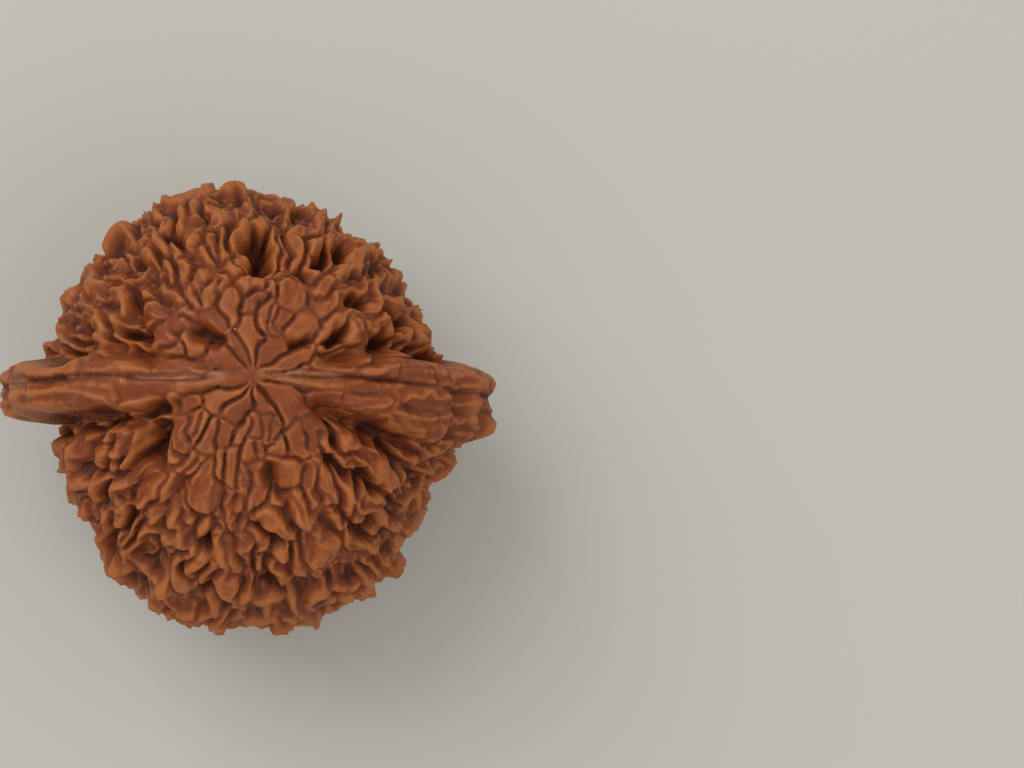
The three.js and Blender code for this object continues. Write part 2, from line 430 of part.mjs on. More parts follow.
// Long plates along the rest of the flange, two rows on each side of the seam
function flangeRows(draw) {
  const plates = [];
  for (const sign of [-1, 1]) {
    for (const [row, step] of [[0.26, 0.5], [0.8, 0.34]]) {
      let turn = -Math.PI + draw(0, step);
      while (turn < Math.PI) {
        const length = step * draw(0.55, 1.2);
        const ends = [turn + 0.04, turn + length - 0.04].map((t) => {
          const d = new THREE.Vector3(Math.sin(t), 0, Math.cos(t));
          const reach = shell(d).radius;
          const half = flangeHalf(Math.abs(d.x), reach * d.x, reach * d.z, sign > 0);
          const y = sign * row * half * (1 + 0.15 * draw(-1, 1));
          return new THREE.Vector3(reach * d.x, y, reach * d.z);
        });
        const rise = 0.2 * (draw() - 0.5);
        plates.push(makeSpine(ends[0], ends[1], { half: 0.3, rise, dish: 0, taper: 0 }));
        turn += length;
      }
    }
  }
  return plates.filter((k) => k.middle.z < 13 && standsClear(k, 0.2, 0.3));
}

const draw = makeDraw(2026);
const knobs = ringKnobs(draw);
const plates = [...byHand, ...knobs, ...flangeRows(draw)];
const hollows = HOLLOWS.map(([x1, y1, x2, y2, radius, depth]) =>
  makeSpine(onShell(x1, y1), onShell(x2, y2), { radius, depth }),
);

const warpLarge = [21, 22, 23].map((seed) => makeWaves(4.5, seed, 20));
const warpSmall = [31, 32, 33].map((seed) => makeWaves(1.8, seed, 20));
const foldLarge = makeWaves(FOLD_LARGE, 41, 30);
const foldMiddle = makeWaves(FOLD_MIDDLE, 45, 40);
const foldSmall = makeWaves(FOLD_SMALL, 46, 40);
const foldVaries = makeWaves(5.0, 47, 24);
const grooveVaries = makeWaves(8.0, 49, 24);
const ridgeFine = makeWaves(RIDGE_FINE, 52, 24);
const ridgeBroad = makeWaves(RIDGE_BROAD, 53, 24);

// Sharp crests and round valleys, mean about 0, from a field's value
const crests = (value) => 0.55 - Math.tanh(1.3 * (Math.sqrt(value * value + 0.02) - 0.14));

// The shell unrolled from the tip, so that folds stretch away from it
function fan(p) {
  const flat = Math.hypot(p.x, p.y) + 1e-9;
  const down = Math.atan2(flat, p.z) * MEAN_RADIUS * FAN_STRETCH;
  return [(p.x / flat) * MEAN_RADIUS, (p.y / flat) * MEAN_RADIUS, down];
}

// Nearest plate to p, how far p is past its edge and past the next plate's, and where along it
function nearestPlate(p) {
  const best = { near: Infinity, next: Infinity, plate: null, along: 0, nextAlong: 0 };
  for (const s of plates) {
    const nearest = Math.hypot(p.x - s.middle.x, p.y - s.middle.y, p.z - s.middle.z) - s.reach;
    if (nearest >= best.next) continue;
    const along = alongSpine(p, s);
    const edge = awayFrom(p, s, along) - s.half * (1 - s.taper * (1 - smooth(0, 0.6, along)));
    if (edge < best.near) {
      best.next = best.near;
      best.nextAlong = best.along;
      best.near = edge;
      best.along = along;
      best.plate = s;
    } else if (edge < best.next) {
      best.next = edge;
      best.nextAlong = along;
    }
  }
  return best;
}
const beside = (along) => smooth(0, 0.2, along) * smooth(0, 0.2, 1 - along);

const floor = FLAT_LIFT - BODY_BOTTOM;
const feet = FOOT_ANGLES.map((degrees) => {
  const turn = THREE.MathUtils.degToRad(degrees);
  const [x, y] = [FOOT_RADIUS * Math.cos(turn), FOOT_RADIUS * Math.sin(turn)];
  return new THREE.Vector3(BASE_MIDDLE[0] + x, BASE_MIDDLE[1] + y, floor);
});

// Height of the relief over the shell in direction d
function relief(d, where) {
  const { onFlange, side, colat } = where;
  const p = d.clone().multiplyScalar(where.radius);
  const outer = smooth(0.3, 0.95, colat) * smooth(Math.PI - 0.2, Math.PI - 0.9, colat);
  const low = smooth(0.85, 1.25, colat);
  const body = 1 - onFlange;
  const sway = (0.6 + 0.4 * outer) * (1 - 0.5 * onFlange);
  const bend = (i) => BEND_LARGE * warpLarge[i](p.x, p.y, p.z) + BEND_SMALL * warpSmall[i](p.x, p.y, p.z);
  const q = new THREE.Vector3(bend(0), bend(1), bend(2)).multiplyScalar(sway).add(p);

  const { near, next, plate, along, nextAlong } = nearestPlate(q);
  const crack = (next - near) / 2;
  const settled = 1 - Math.exp(-((crack / 0.25) ** 2));
  const uneven = clamp(0.85 + 0.45 * grooveVaries(q.x, q.y, q.z), 0.2, 1.5);
  const sides = 0.4 + 0.6 * Math.max(beside(along), beside(nextAlong));
  const bold = 0.45 + 0.55 * smooth(THIN_PLATE[0], THIN_PLATE[1], plate.half);
  const groove = Math.exp(-((crack / (0.22 + 0.25 * outer)) ** 2)) * sides * bold;
  const inside = spineDistance(q, plate);

  let height = -(GROOVE_TIP * (1 - outer) + GROOVE_OUTER * outer * uneven) * groove * (0.5 * body + 0.5);
  const ramp = smooth(0, 1, (near + 0.08 + 0.45 * outer) / (0.3 + outer));
  height -= ramp * outer * (KNOB_DROP - KNOB_DROP_LOSS * low) * body * uneven;
  height += settled * plate.rise * (0.6 + 0.4 * outer);
  height += settled * KNOB_SLOPE * outer * body * (2 * along - 1) * (1 - 0.5 * low);
  height -= plate.dish * 1.1 * Math.exp(-((inside / 0.7) ** 2)) * settled;
  height -= CROWN * clamp(inside / 0.6, 0, 1.5) ** 2;

  let hollow = 0;
  for (const h of hollows) {
    const far = spineDistance(q, h) / (h.radius * 1.3);
    hollow = Math.max(hollow, h.depth * 1.35 * Math.exp(-(far ** 2.2)));
  }
  height -= hollow;

  const [fx, fy, fz] = fan(q);
  const varies = 0.8 + 0.45 * Math.tanh(foldVaries(q.x, q.y, q.z));
  let folds = FOLD_LARGE_DEPTH * crests(foldLarge(q.x, q.y, q.z));
  folds += FOLD_MIDDLE_DEPTH * crests(foldMiddle(fx, fy, fz)) * varies;
  folds += FOLD_SMALL_DEPTH * crests(foldSmall(fx, fy, fz));
  height += body * outer * folds * (0.55 + 0.45 * low);

  const fine = ridgeFine(q.x * RIDGE_FINE_DRAWN, q.y, q.z * RIDGE_FINE_DRAWN);
  const broad = ridgeBroad(q.x * RIDGE_BROAD_DRAWN, q.y, q.z * RIDGE_BROAD_DRAWN);
  const ridges = RIDGE_FINE_DEPTH * crests(fine) + RIDGE_BROAD_DEPTH * crests(broad) - RIDGE_DROP;
  height += onFlange * smooth(0.1, 0.4, side) * ridges;

  for (const foot of feet) {
    height += FOOT_DROP * Math.exp(-p.distanceToSquared(foot) / FOOT_WIDTH ** 2);
  }
  height -= SEAM_DEPTH * Math.exp(-((where.y / SEAM_WIDTH) ** 2)) * smooth(0.05, 0.2, side);
  return Math.min(height, HEIGHT_LIMIT + 0.25 * Math.tanh((height - HEIGHT_LIMIT) / 0.5));
}

// A point on the finished outside, its height taken over a small patch that the mesh can follow
const PATCH = 0.028;
const PATCH_POINTS = 6;
function outside(d) {
  const where = shell(d);
  const across = new THREE.Vector3(d.y, d.z, d.x).cross(d).normalize();
  let height = relief(d, where);
  for (let i = 0; i < PATCH_POINTS; i += 1) {
    const turn = (2 * Math.PI * i) / PATCH_POINTS;
    const around = across.clone().applyAxisAngle(d, turn);
    const beside = d.clone().addScaledVector(around, PATCH).normalize();
    height += relief(beside, shell(beside));
  }
  return d.clone().multiplyScalar(where.radius + height / (PATCH_POINTS + 1));
}

// Closer vertices towards the tip, without stretching the triangles
function pulled(v) {
  const colat = Math.acos(clamp(v.z, -1, 1));
  const moved = 2 * Math.atan(Math.tan(Math.min(colat, Math.PI - 1e-6) / 2) / MESH_PULL);
  return direction(moved, Math.atan2(v.y, v.x));
}

const sphere = new THREE.IcosahedronGeometry(1, MESH_DETAIL);
sphere.deleteAttribute("normal");
sphere.deleteAttribute("uv");
const geometry = mergeVertices(sphere, 1e-5);
const position = geometry.getAttribute("position");
const directions = [];
for (let i = 0; i < position.count; i += 1) {
  directions.push(pulled(new THREE.Vector3().fromBufferAttribute(position, i).normalize()));
}

// Lowest level allowed on the underside: the flat spot and the tips of the feet touch the floor
function clearance(x, y) {
  const fromMiddle = Math.hypot(x - BASE_MIDDLE[0], y - BASE_MIDDLE[1]);
  let clear = CLEAR_OF_FLOOR * smooth(FLAT_RADIUS, FLAT_RADIUS + 0.5, fromMiddle);
  for (const foot of feet) {
    clear *= 1 - Math.exp(-(((x - foot.x) ** 2 + (y - foot.y) ** 2) / FOOT_TIP ** 2));
  }
  return clear;
}

// Set on its base at height 0, with the middle of its box over the origin
const points = directions.map((d) => {
  const p = outside(d);
  const level = p.z - floor;
  return new THREE.Vector3(p.x, p.y, d.z < 0 ? Math.max(level, clearance(p.x, p.y)) : level);
});
for (const foot of feet) {
  const toFoot = foot.clone().normalize();
  const turns = directions.map((d) => d.dot(toFoot));
  const nearest = turns.indexOf(Math.max(...turns));
  points[nearest].set(foot.x, foot.y, 0);
}
points.forEach((p, i) => position.setXYZ(i, p.x, p.y, p.z));
geometry.computeBoundingBox();
const middle = geometry.boundingBox.getCenter(new THREE.Vector3());
geometry.translate(-middle.x, -middle.y, 0);
geometry.computeVertexNormals();

const shellMaterial = new THREE.MeshStandardMaterial({
  color: new THREE.Color().setRGB(0.18, 0.055, 0.02),
  roughness: 0.55,
  metalness: 0,
});
const walnut = new THREE.Mesh(geometry, shellMaterial);
walnut.name = "walnut";

const group = new THREE.Group();
group.name = "walnut_in_shell";
group.add(walnut);

export default group;
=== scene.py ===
# %% [markdown]
# # A walnut in its shell
# The nut stands on its base and is seen from above, with the tip in the middle and the flange of
# the seam across it. The real shell is one hard, closed piece. What makes it a walnut is relief:
# flat plates with hair-thin cracks around the tip, and deep folds with blunt crests further out.
# A texture alone would leave a smooth outline, so the relief here is real geometry.

# %% Load the frame
import math

import bmesh
import bpy
import numpy as np
from mathutils import Matrix, Vector


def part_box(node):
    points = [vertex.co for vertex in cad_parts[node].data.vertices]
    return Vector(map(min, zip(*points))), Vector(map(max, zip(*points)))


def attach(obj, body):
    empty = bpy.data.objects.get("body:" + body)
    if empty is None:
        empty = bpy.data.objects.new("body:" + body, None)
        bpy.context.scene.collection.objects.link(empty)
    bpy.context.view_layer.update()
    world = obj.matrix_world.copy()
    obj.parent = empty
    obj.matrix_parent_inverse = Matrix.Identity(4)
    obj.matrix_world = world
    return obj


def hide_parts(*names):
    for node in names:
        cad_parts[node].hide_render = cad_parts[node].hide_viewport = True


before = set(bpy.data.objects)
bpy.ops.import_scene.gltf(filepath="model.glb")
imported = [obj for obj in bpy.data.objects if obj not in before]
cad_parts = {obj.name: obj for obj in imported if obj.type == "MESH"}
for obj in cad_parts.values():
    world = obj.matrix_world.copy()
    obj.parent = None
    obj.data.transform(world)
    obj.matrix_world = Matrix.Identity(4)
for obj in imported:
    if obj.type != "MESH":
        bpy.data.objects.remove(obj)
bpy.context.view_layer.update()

MM = 0.001
nut_low, nut_high = (np.array(corner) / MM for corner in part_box("walnut"))
print("nut box, mm:", nut_low.round(2), nut_high.round(2))

# %% [markdown]
# ## Camera
# The photograph was taken from above with a slightly long lens, tilted a few degrees to the right
# and to the back. The nut isn't in the middle of the picture. A camera shift could put it there,
# but then the perspective on its sides would be wrong, so the camera itself stands off to one side.

# %% Place the camera
LENS = 90.0
SENSOR = 36.0
PICTURE_WIDTH = 1024
DISTANCE = 240.5
TILT_RIGHT = 6.8
TILT_BACK = 4.1
NUT_RIGHT_OF_MIDDLE = -263
NUT_ABOVE_MIDDLE = -26
SEAM_LEVEL = 18.5

look = Vector((math.tan(math.radians(TILT_RIGHT)), math.tan(math.radians(TILT_BACK)), -1)).normalized()
right = look.cross(Vector((0, 1, 0))).normalized()
up = right.cross(look)
pixels_per_slope = LENS / SENSOR * PICTURE_WIDTH
to_nut = look + (right * NUT_RIGHT_OF_MIDDLE + up * NUT_ABOVE_MIDDLE) / pixels_per_slope
nut_middle = Vector(((nut_low[0] + nut_high[0]) / 2, (nut_low[1] + nut_high[1]) / 2, SEAM_LEVEL))

lens = bpy.data.cameras.new("camera")
lens.lens = LENS
lens.sensor_width = SENSOR
camera = bpy.data.objects.new("camera", lens)
turn = Matrix((right, up, -look)).transposed().to_4x4()
camera.matrix_world = Matrix.Translation((nut_middle - to_nut * DISTANCE) * MM) @ turn
bpy.context.scene.collection.objects.link(camera)
bpy.context.scene.camera = camera
print("camera at, mm:", [round(v / MM, 1) for v in camera.location])

# %% [markdown]
# ## Chance that can be repeated
# Nature puts no two ridges alike, so much below is drawn by chance. It has to come out the same on
# every run, so the numbers come from a small seeded source. A field of sine waves in random
# directions makes a smooth bumpy field with no grid in it, and costs one sum per wave.

# %% Seeded numbers and wave fields
LCG_STEP = 1664525
LCG_ADD = 1013904223
LCG_SIZE = 2 ** 32


class Draw:
    """A seeded source of numbers between low and high."""

    def __init__(self, seed):
        self.state = seed

    def __call__(self, low=0.0, high=1.0):
        self.state = (self.state * LCG_STEP + LCG_ADD) % LCG_SIZE
        return low + (high - low) * self.state / LCG_SIZE


WAVE_SPREAD = 0.25
WARM_UP = 4


def waves(points, wavelength, seed, count):
    """A smooth random field at the points, in mm, with unit variance."""
    draw = Draw(seed)
    for _ in range(WARM_UP):
        draw()
    total = np.zeros(len(points))
    for _ in range(count):
        z = draw(-1, 1)
        around = draw(0, 2 * math.pi)
        k = 2 * math.pi / (wavelength * draw(1 - WAVE_SPREAD, 1 + WAVE_SPREAD))
        phase = draw(0, 2 * math.pi)
        flat = math.sqrt(1 - z * z)
        wave = np.array((flat * math.cos(around), flat * math.sin(around), z)) * k
        total += np.sin(points @ wave + phase)
    return total * math.sqrt(2 / count)


def smooth(low, high, value):
    """0 below low, 1 above high, and a soft step between them."""
    t = np.clip((value - low) / (high - low), 0, 1)
    return t * t * (3 - 2 * t)


def unit(vectors):
    return vectors / np.linalg.norm(vectors, axis=1, keepdims=True)


# %% [markdown]
# ## The form under the relief
# The body is an outline seen from above, drawn down to the tip and the base like a dome. The
# flange stands out of it all round the seam, in the plane of X and Z, with a gutter on each side.
# Everything is one radius for each direction from the middle, so the nut can't cut through itself.

# %% Sizes of the shell, in mm
FLANGE_SPAN = 47.0
FLANGE_TOP = 19.9
BODY_TOP = 19.6
BODY_BOTTOM = 19.4
FLAT_LIFT = 0.9
FLANGE_ROUND = 2.2
FLANGE_INSET = 0.3
BODY_ROUND = 2.3
OUTLINE = (
    (0, 19.6), (10, 18.4), (21, 17.6), (35, 17.6), (52, 18.0), (70, 18.1), (84, 17.8), (95, 18.8),
    (110, 19.2), (125, 19.5), (140, 18.5), (160, 18.8), (176, 19.0), (186, 19.5), (195, 18.6), (212, 19.1),
    (226, 19.7), (236, 21.4), (252, 22.9), (270, 22.5), (286, 23.1), (308, 22.3), (318, 20.8),
    (332, 19.4), (341, 20.4), (350, 21.0), (360, 19.6),
)
OUTLINE_INSET = 0.4
BASE_MIDDLE = np.array((0.0, -1.75))
FLAT_RADIUS = 3.0
FOOT_RADIUS = 7.2
FOOT_WIDTH = 1.3
FOOT_DROP = 0.9
FOOT_TIP = 0.9
CLEAR_OF_FLOOR = 0.15
SEAM_COURSE = (
    (-23.5, 0.2), (-22, 0.2), (-19.5, -0.3), (-17, -0.2), (-13.5, 0.1), (-11.5, -0.05), (-9, -0.5),
    (-6, -0.6), (-3, -0.3), (0, 0), (6, -0.25), (9, -0.1), (12, -0.3), (15, -0.5), (18, -0.8),
    (20.5, -0.4), (23.5, 0),
)
SEAM_SWAY = 0.3
FLANGE_HALF_TIP = 0.5
FLANGE_GAIN_BACK = 1.9
FLANGE_GAIN_FRONT = 2.7
FLANGE_FLARE = 1.5
FLANGE_UNEVEN = 0.15
FLANGE_END_LOSS = 0.22
FLANGE_CREST = 0.5
CREST_LEFT = 0.3
FLANGE_EDGE = 6
GUTTER_OFFSET = 0.85
GUTTER_WIDTH = 0.85
GUTTER_DEPTH_BACK = 1.3
GUTTER_DEPTH_FRONT = 1.8
OTHER_SIDE = 40

# %% Wave fields of the shell: wavelength in mm, seed, number of waves
SEAM_SWAYS = (11.0, 11, 16)
FLANGE_SWELLS = (6.0, 12, 18)
FLANGE_CRESTS = (4.2, 13, 16)
GUTTER_VARIES = (7.0, 14, 18)


def eased(table, value):
    """The table's second column at the values of its first, with soft steps between its rows."""
    keys, values = np.array(table).T
    k = np.clip(np.searchsorted(keys, value, side="right") - 1, 0, len(keys) - 2)
    return values[k] + (values[k + 1] - values[k]) * smooth(keys[k], keys[k + 1], value)


def outline_radius(angle):
    """Radius of the body seen from above, in mm, at an angle in radians."""
    return eased(OUTLINE, np.degrees(angle) % 360) - OUTLINE_INSET


def body_radius(d):
    flat = np.hypot(d[:, 0], d[:, 1]) / outline_radius(np.arctan2(d[:, 1], d[:, 0]))
    tall = np.abs(d[:, 2]) / np.where(d[:, 2] > 0, BODY_TOP, BODY_BOTTOM)
    return (flat ** BODY_ROUND + tall ** BODY_ROUND) ** (-1 / BODY_ROUND)


def flange_half(side, x, z, back):
    """Half width of the flange, which has a back and a front side and widens away from the tip."""
    at_back = FLANGE_GAIN_BACK * smooth(0.1, 0.95, side)
    flare = FLANGE_FLARE * smooth(12, 19, x) * smooth(-4, 6, z)
    at_front = FLANGE_GAIN_FRONT * smooth(0.05, 0.65, side) + flare
    slender = 1 - FLANGE_END_LOSS * smooth(-7, -15, x)
    return FLANGE_HALF_TIP + np.where(back, at_back, at_front) * slender


def shell(d):
    """The shell without its relief: its radius in directions d, and where on it they are."""
    body = body_radius(d)
    colat = np.arccos(np.clip(d[:, 2], -1, 1))
    side = np.sin(colat)
    point = d * body[:, None]
    x, z = point[:, 0], point[:, 2]
    in_plane = np.hypot(d[:, 0], d[:, 2]) + 1e-9
    reach = np.where(d[:, 2] > 0, FLANGE_TOP, BODY_BOTTOM + FLANGE_INSET)
    across = np.abs(d[:, 0]) / in_plane / (FLANGE_SPAN / 2 - FLANGE_INSET)
    upright = np.abs(d[:, 2]) / in_plane / reach
    flange = (across ** FLANGE_ROUND + upright ** FLANGE_ROUND) ** (-1 / FLANGE_ROUND)
    flat = point * (1, 0, 1)
    above = smooth(-6, 4, z)
    sway = SEAM_SWAY * waves(flat, *SEAM_SWAYS) * (1 - above) * smooth(0.1, 0.6, side)
    y = point[:, 1] - eased(SEAM_COURSE, x) * above - sway
    # the two sides of the seam read the field at places far from each other
    apart = flat + np.sign(point[:, 1:2]) * OTHER_SIDE
    half = flange_half(side, x, z, y > 0) * (1 + FLANGE_UNEVEN * waves(apart, *FLANGE_SWELLS))
    on_flange = 1 / (1 + (np.abs(y) / half) ** FLANGE_EDGE)
    lift = np.maximum(flange - body, 0) * smooth(0, 0.25, side)
    jagged = CREST_LEFT + (1 - CREST_LEFT) * smooth(-20, -12, x)
    crest = FLANGE_CREST * waves(flat, *FLANGE_CRESTS) * smooth(0.45, 0.9, side) * jagged
    gutter = np.exp(-((np.abs(y) - half - GUTTER_OFFSET) / GUTTER_WIDTH) ** 2) * smooth(0.18, 0.5, side)
    gutter = gutter * np.clip(0.9 + 0.55 * waves(point, *GUTTER_VARIES), 0, 1.7)
    gutter = gutter * np.where(y > 0, GUTTER_DEPTH_BACK, GUTTER_DEPTH_FRONT)
    radius = body + (lift + crest) * on_flange - gutter
    return radius, {"on_flange": on_flange, "y": y, "half": half, "side": side, "colat": colat}


test_ring = np.array([(math.cos(a), math.sin(a), 0) for a in np.linspace(0, 2 * math.pi, 9)[:-1]])
print("shell radius round the middle, mm:", shell(test_ring)[0].round(1))

# %% [markdown]
# ## Plates and hollows
# Around the tip the shell is broken into flat plates, and each has a place of its own on the real
# nut, so they are listed one by one. A plate is a short line, its spine, with a half width, a rise
# and a dish. The places are as seen from above along the camera's line of sight, x to the right
# and y up, and each is then dropped onto the shell. The rest of the nut gets its knobs in rings,
# by rule. Hollows are placed in the same way as plates.

# %% Plates: spine ends x1, y1, x2, y2, half width, rise, dish, in mm
PETALS = (
    (-0.1, 3.15, -3.2, 4.9, 0.5, 0.15, 0), (0.1, 3.5, -1.4, 6.2, 0.6, -0.35, 0.2),
    (-1.9, 7.2, -2.9, 8.6, 0.65, -0.3, 0.2), (0.45, 3.7, 0.1, 8.2, 0.6, 0.1, 0),
    (0.7, 3.4, 2.6, 5.6, 0.6, -0.1, 0.1), (1.0, 3.2, 5.6, 4.7, 0.75, 0.25, 0),
    (0.0, 2.6, -3.5, -0.2, 0.8, 0.25, 0), (0.25, 2.4, -1.3, -0.9, 0.75, 0, 0),
    (0.55, 2.4, 1.9, -0.4, 0.55, 0.05, 0), (0.9, 2.6, 4.5, 0.0, 1.1, 0.25, 0),
)
FLANGE_PLATES = (
    (-4.4, 3.3, -8.6, 3.5, 0.5, 0.15, 0), (-9.6, 3.4, -11.8, 3.6, 0.35, 0, 0),
    (-12.6, 3.45, -15.6, 3.35, 0.45, -0.1, 0), (-16.6, 3.5, -21.6, 3.3, 0.75, 0.2, 0),
    (-0.8, 2.8, -6.4, 1.9, 0.3, -0.1, 0), (-7.2, 1.7, -12, 1.6, 0.55, 0, 0),
    (-12.8, 1.3, -21.5, 1, 1.1, 0.25, 0), (-8.8, 0.7, -11.8, 0.4, 0.5, 0, 0),
    (-5.1, 0.4, -6, 0.2, 0.4, 0.1, 0), (-6.9, 0.6, -7.3, -0.1, 0.4, 0, 0),
    (2.6, 3.2, 5.4, 3.3, 0.2, -0.1, 0), (6.6, 3.8, 10.6, 4.2, 0.9, 0.1, 0),
    (11.6, 3.5, 14.4, 3.3, 0.7, 0.1, 0), (15.3, 3.1, 17.6, 2.9, 0.75, 0.1, 0),
    (18.4, 3.4, 19.4, 3.8, 0.8, 0.1, 0.2), (20.2, 2.8, 22.2, 2.6, 0.7, 0, 0.2),
    (7.3, 5.2, 8.2, 5.8, 0.42, 0.1, 0), (1.2, 2.85, 8.8, 2.2, 0.3, -0.1, 0), (9.6, 2, 15, 1.6, 0.35, 0, 0),
    (6.4, 1.1, 8.8, 1.1, 0.55, 0.1, 0), (9.7, 0.9, 13.4, 0.4, 0.55, 0.05, 0),
    (15.6, 1.1, 19, 0.6, 0.7, 0.1, 0), (20.2, 0.9, 22.3, 0.6, 0.9, 0.1, 0.3),
    (14.2, -0.3, 16.8, -2.4, 0.35, 0, 0), (13.4, -1.4, 17.6, -4.2, 0.4, 0.2, 0),
    (16.2, -1.2, 18.4, -3.9, 0.4, 0.1, 0), (17.6, -0.8, 19.2, -3.4, 0.45, 0, 0),
    (19.4, -0.8, 20.8, -3.2, 0.8, 0, 0.2),
)
FRONT_PLATES = (
    (-6.2, -1.9, -6.2, -3.5, 0.6, 0.1, 0.35), (-5.15, -0.9, -5.1, -2.4, 0.22, 0, 0),
    (-4.4, -1.3, -4.7, -3, 0.28, 0, 0), (-3.3, -2.2, -4.1, -4, 0.45, 0, 0),
    (-1.7, -2.1, -2.3, -3.2, 0.45, -0.3, 0), (0.1, -1.8, -0.9, -3.3, 0.33, 0, 0),
    (0.75, -1.4, 0.9, -2.6, 0.25, 0, 0), (0.6, -3.4, 0.55, -5, 0.5, 0.05, 0),
    (-1.2, -4.4, -1.35, -7.2, 0.5, 0.1, 0), (1.8, -1.2, 1.9, -3.4, 0.25, -0.1, 0),
    (1.35, -3.6, 1.3, -4.9, 0.15, 0, 0), (2.35, -1.8, 2.4, -3, 0.25, 0, 0),
    (2.9, -3, 3.25, -4.5, 0.42, 0.1, 0), (4.9, -2.2, 5.2, -4.6, 0.6, 0.1, 0.1),
    (6.2, -2.2, 6.4, -4.4, 0.45, -0.2, 0.2), (7, -3.3, 8.8, -4.4, 0.45, 0.1, 0),
    (8.2, -0.9, 9.9, -3.5, 0.7, 0.3, 0.1), (-3.9, -5.8, -4.2, -9.2, 1, 0.1, 0.15),
    (-2.45, -4.2, -2.4, -6.4, 0.15, -0.1, 0), (-5.2, -4.6, -6.5, -6.2, 0.25, 0, 0),
    (-4.3, -4.9, -5.6, -6.5, 0.2, 0, 0), (-7.4, -7.2, -7.9, -8.4, 0.55, 0, 0),
    (-1.55, -8.3, -1.6, -9.2, 0.3, 0, 0), (-1.4, -9.9, -1.25, -11.5, 0.38, 0.1, 0),
    (-0.1, -6.2, -0.55, -8, 0.28, 0, 0), (-0.45, -8.5, -0.7, -9.8, 0.25, 0, 0),
    (2.9, -5.9, 4.2, -7.2, 0.65, 0.2, 0.2), (1.5, -6.4, 0.9, -9.2, 0.55, 0.1, 0),
    (4.9, -8.4, 5.3, -10.6, 0.65, 0.3, 0), (2.9, -8.6, 3.05, -8.9, 0.22, 0.2, 0),
    (2.2, -10.4, 3.9, -12.4, 0.85, 0.5, 0), (1.1, -12.2, 1.3, -14, 0.3, 0.1, 0),
    (3.4, -13.2, 2.8, -14.4, 0.55, 0.4, 0), (6, -12.2, 7.6, -13.9, 1, 0.2, 0.2),
    (4.9, -14.2, 5.3, -15.8, 0.75, 0.3, 0.1), (1.6, -15, 1.6, -16.1, 0.45, 0.2, 0),
    (2.8, -15.8, 3.3, -16.7, 0.55, 0.1, 0.1), (-0.15, -11.6, -0.05, -17.6, 0.42, 0.3, 0),
    (-1.6, -13.2, -1.5, -15.4, 0.55, 0.3, 0.1), (-2.4, -12.9, -1.3, -17.4, 0.25, 0.3, 0),
    (-2.2, -12.2, -2.6, -12.4, 0.35, 0.1, 0), (-3.9, -11.4, -4.3, -12.2, 0.45, 0.2, 0),
    (-2.5, -11, -2.5, -11.6, 0.3, 0.2, 0), (-4.4, -13.6, -4.8, -16, 0.55, 0.3, 0),
    (-3.1, -15.2, -3.7, -16.6, 0.35, 0.3, 0), (-6.6, -9.4, -7.2, -11.3, 0.38, 0.15, 0),
    (-5.9, -9.6, -6, -10.8, 0.3, 0, 0), (-6.4, -12.4, -7.6, -12.5, 0.35, 0.1, 0),
    (-6.9, -13.6, -7, -14.4, 0.38, 0.1, 0), (-5.3, -13, -5.6, -14.4, 0.35, 0.1, 0),
    (-6.2, -14.8, -6.5, -16.8, 0.35, 0.3, 0), (-7, -15.4, -7.7, -17, 0.4, 0.2, 0),
    (7.2, -6.6, 8.4, -8.8, 0.75, 0.1, 0.2), (6.1, -5.8, 6.3, -9, 0.22, 0, 0),
    (8.4, -10, 8.8, -11.2, 0.55, 0.1, 0), (9.4, -6.4, 10, -9.4, 0.45, 0.2, 0),
    (9.3, -11.2, 9.6, -12.9, 0.5, 0.2, 0), (11.6, -6, 13.4, -7, 0.6, 0.5, 0),
    (11.4, -8.3, 12.8, -9.5, 0.65, 0.3, 0), (9, -5.2, 10.2, -6, 0.35, 0.2, 0),
    (10.9, -5.4, 11.1, -6, 0.35, 0.3, 0), (10.8, -9.4, 11.1, -10.8, 0.4, 0.2, 0),
    (12.2, -10.4, 12.5, -12, 0.6, 0.1, 0.2), (11.2, -13, 12.4, -13.2, 0.4, 0.2, 0),
    (13.4, -10.4, 13.8, -12, 0.45, 0.1, 0), (14.9, -9.6, 15.1, -11.4, 0.6, 0.1, 0),
    (14.6, -7.6, 15, -8.3, 0.5, 0.2, 0), (-8.4, -1.4, -7.8, -1.7, 0.4, 0.1, 0),
    (-7.8, -2.6, -6.9, -5.2, 0.22, 0.3, 0), (-11.2, -2.9, -13.2, -5.6, 0.38, 0.5, 0),
    (-9.9, -2.8, -11.8, -5.4, 0.38, 0.3, 0), (-10.6, -0.8, -11, -1.4, 0.3, 0.2, 0),
    (-15, -1, -16.2, -1.7, 0.35, 0.2, 0), (-14.2, -1.3, -15, -2.3, 0.35, 0, 0),
    (-13.4, -2.6, -13.6, -3.4, 0.3, 0.2, 0), (-13.8, -4.4, -14.2, -5.8, 0.5, 0.2, 0),
    (-13.2, -7, -14.2, -7.6, 0.5, 0.4, 0), (-11.2, -7.2, -12, -7.6, 0.4, 0.2, 0),
    (-8.4, -7.6, -9.4, -9, 0.4, 0.1, 0), (-10.2, -10.8, -11.4, -13.4, 0.4, 0.3, 0),
    (-8.9, -11.6, -10.6, -14, 0.6, 0.2, 0.1), (-12.2, -9, -13, -10.8, 0.38, 0.3, 0),
    (-14.6, -8, -15.2, -9.2, 0.4, 0.2, 0), (-13.8, -10, -14.1, -10.9, 0.35, 0.2, 0),
    (-12.8, -12, -13.6, -13.6, 0.4, 0.2, 0), (-8.6, -9.8, -8.9, -10.8, 0.5, 0.1, 0),
)
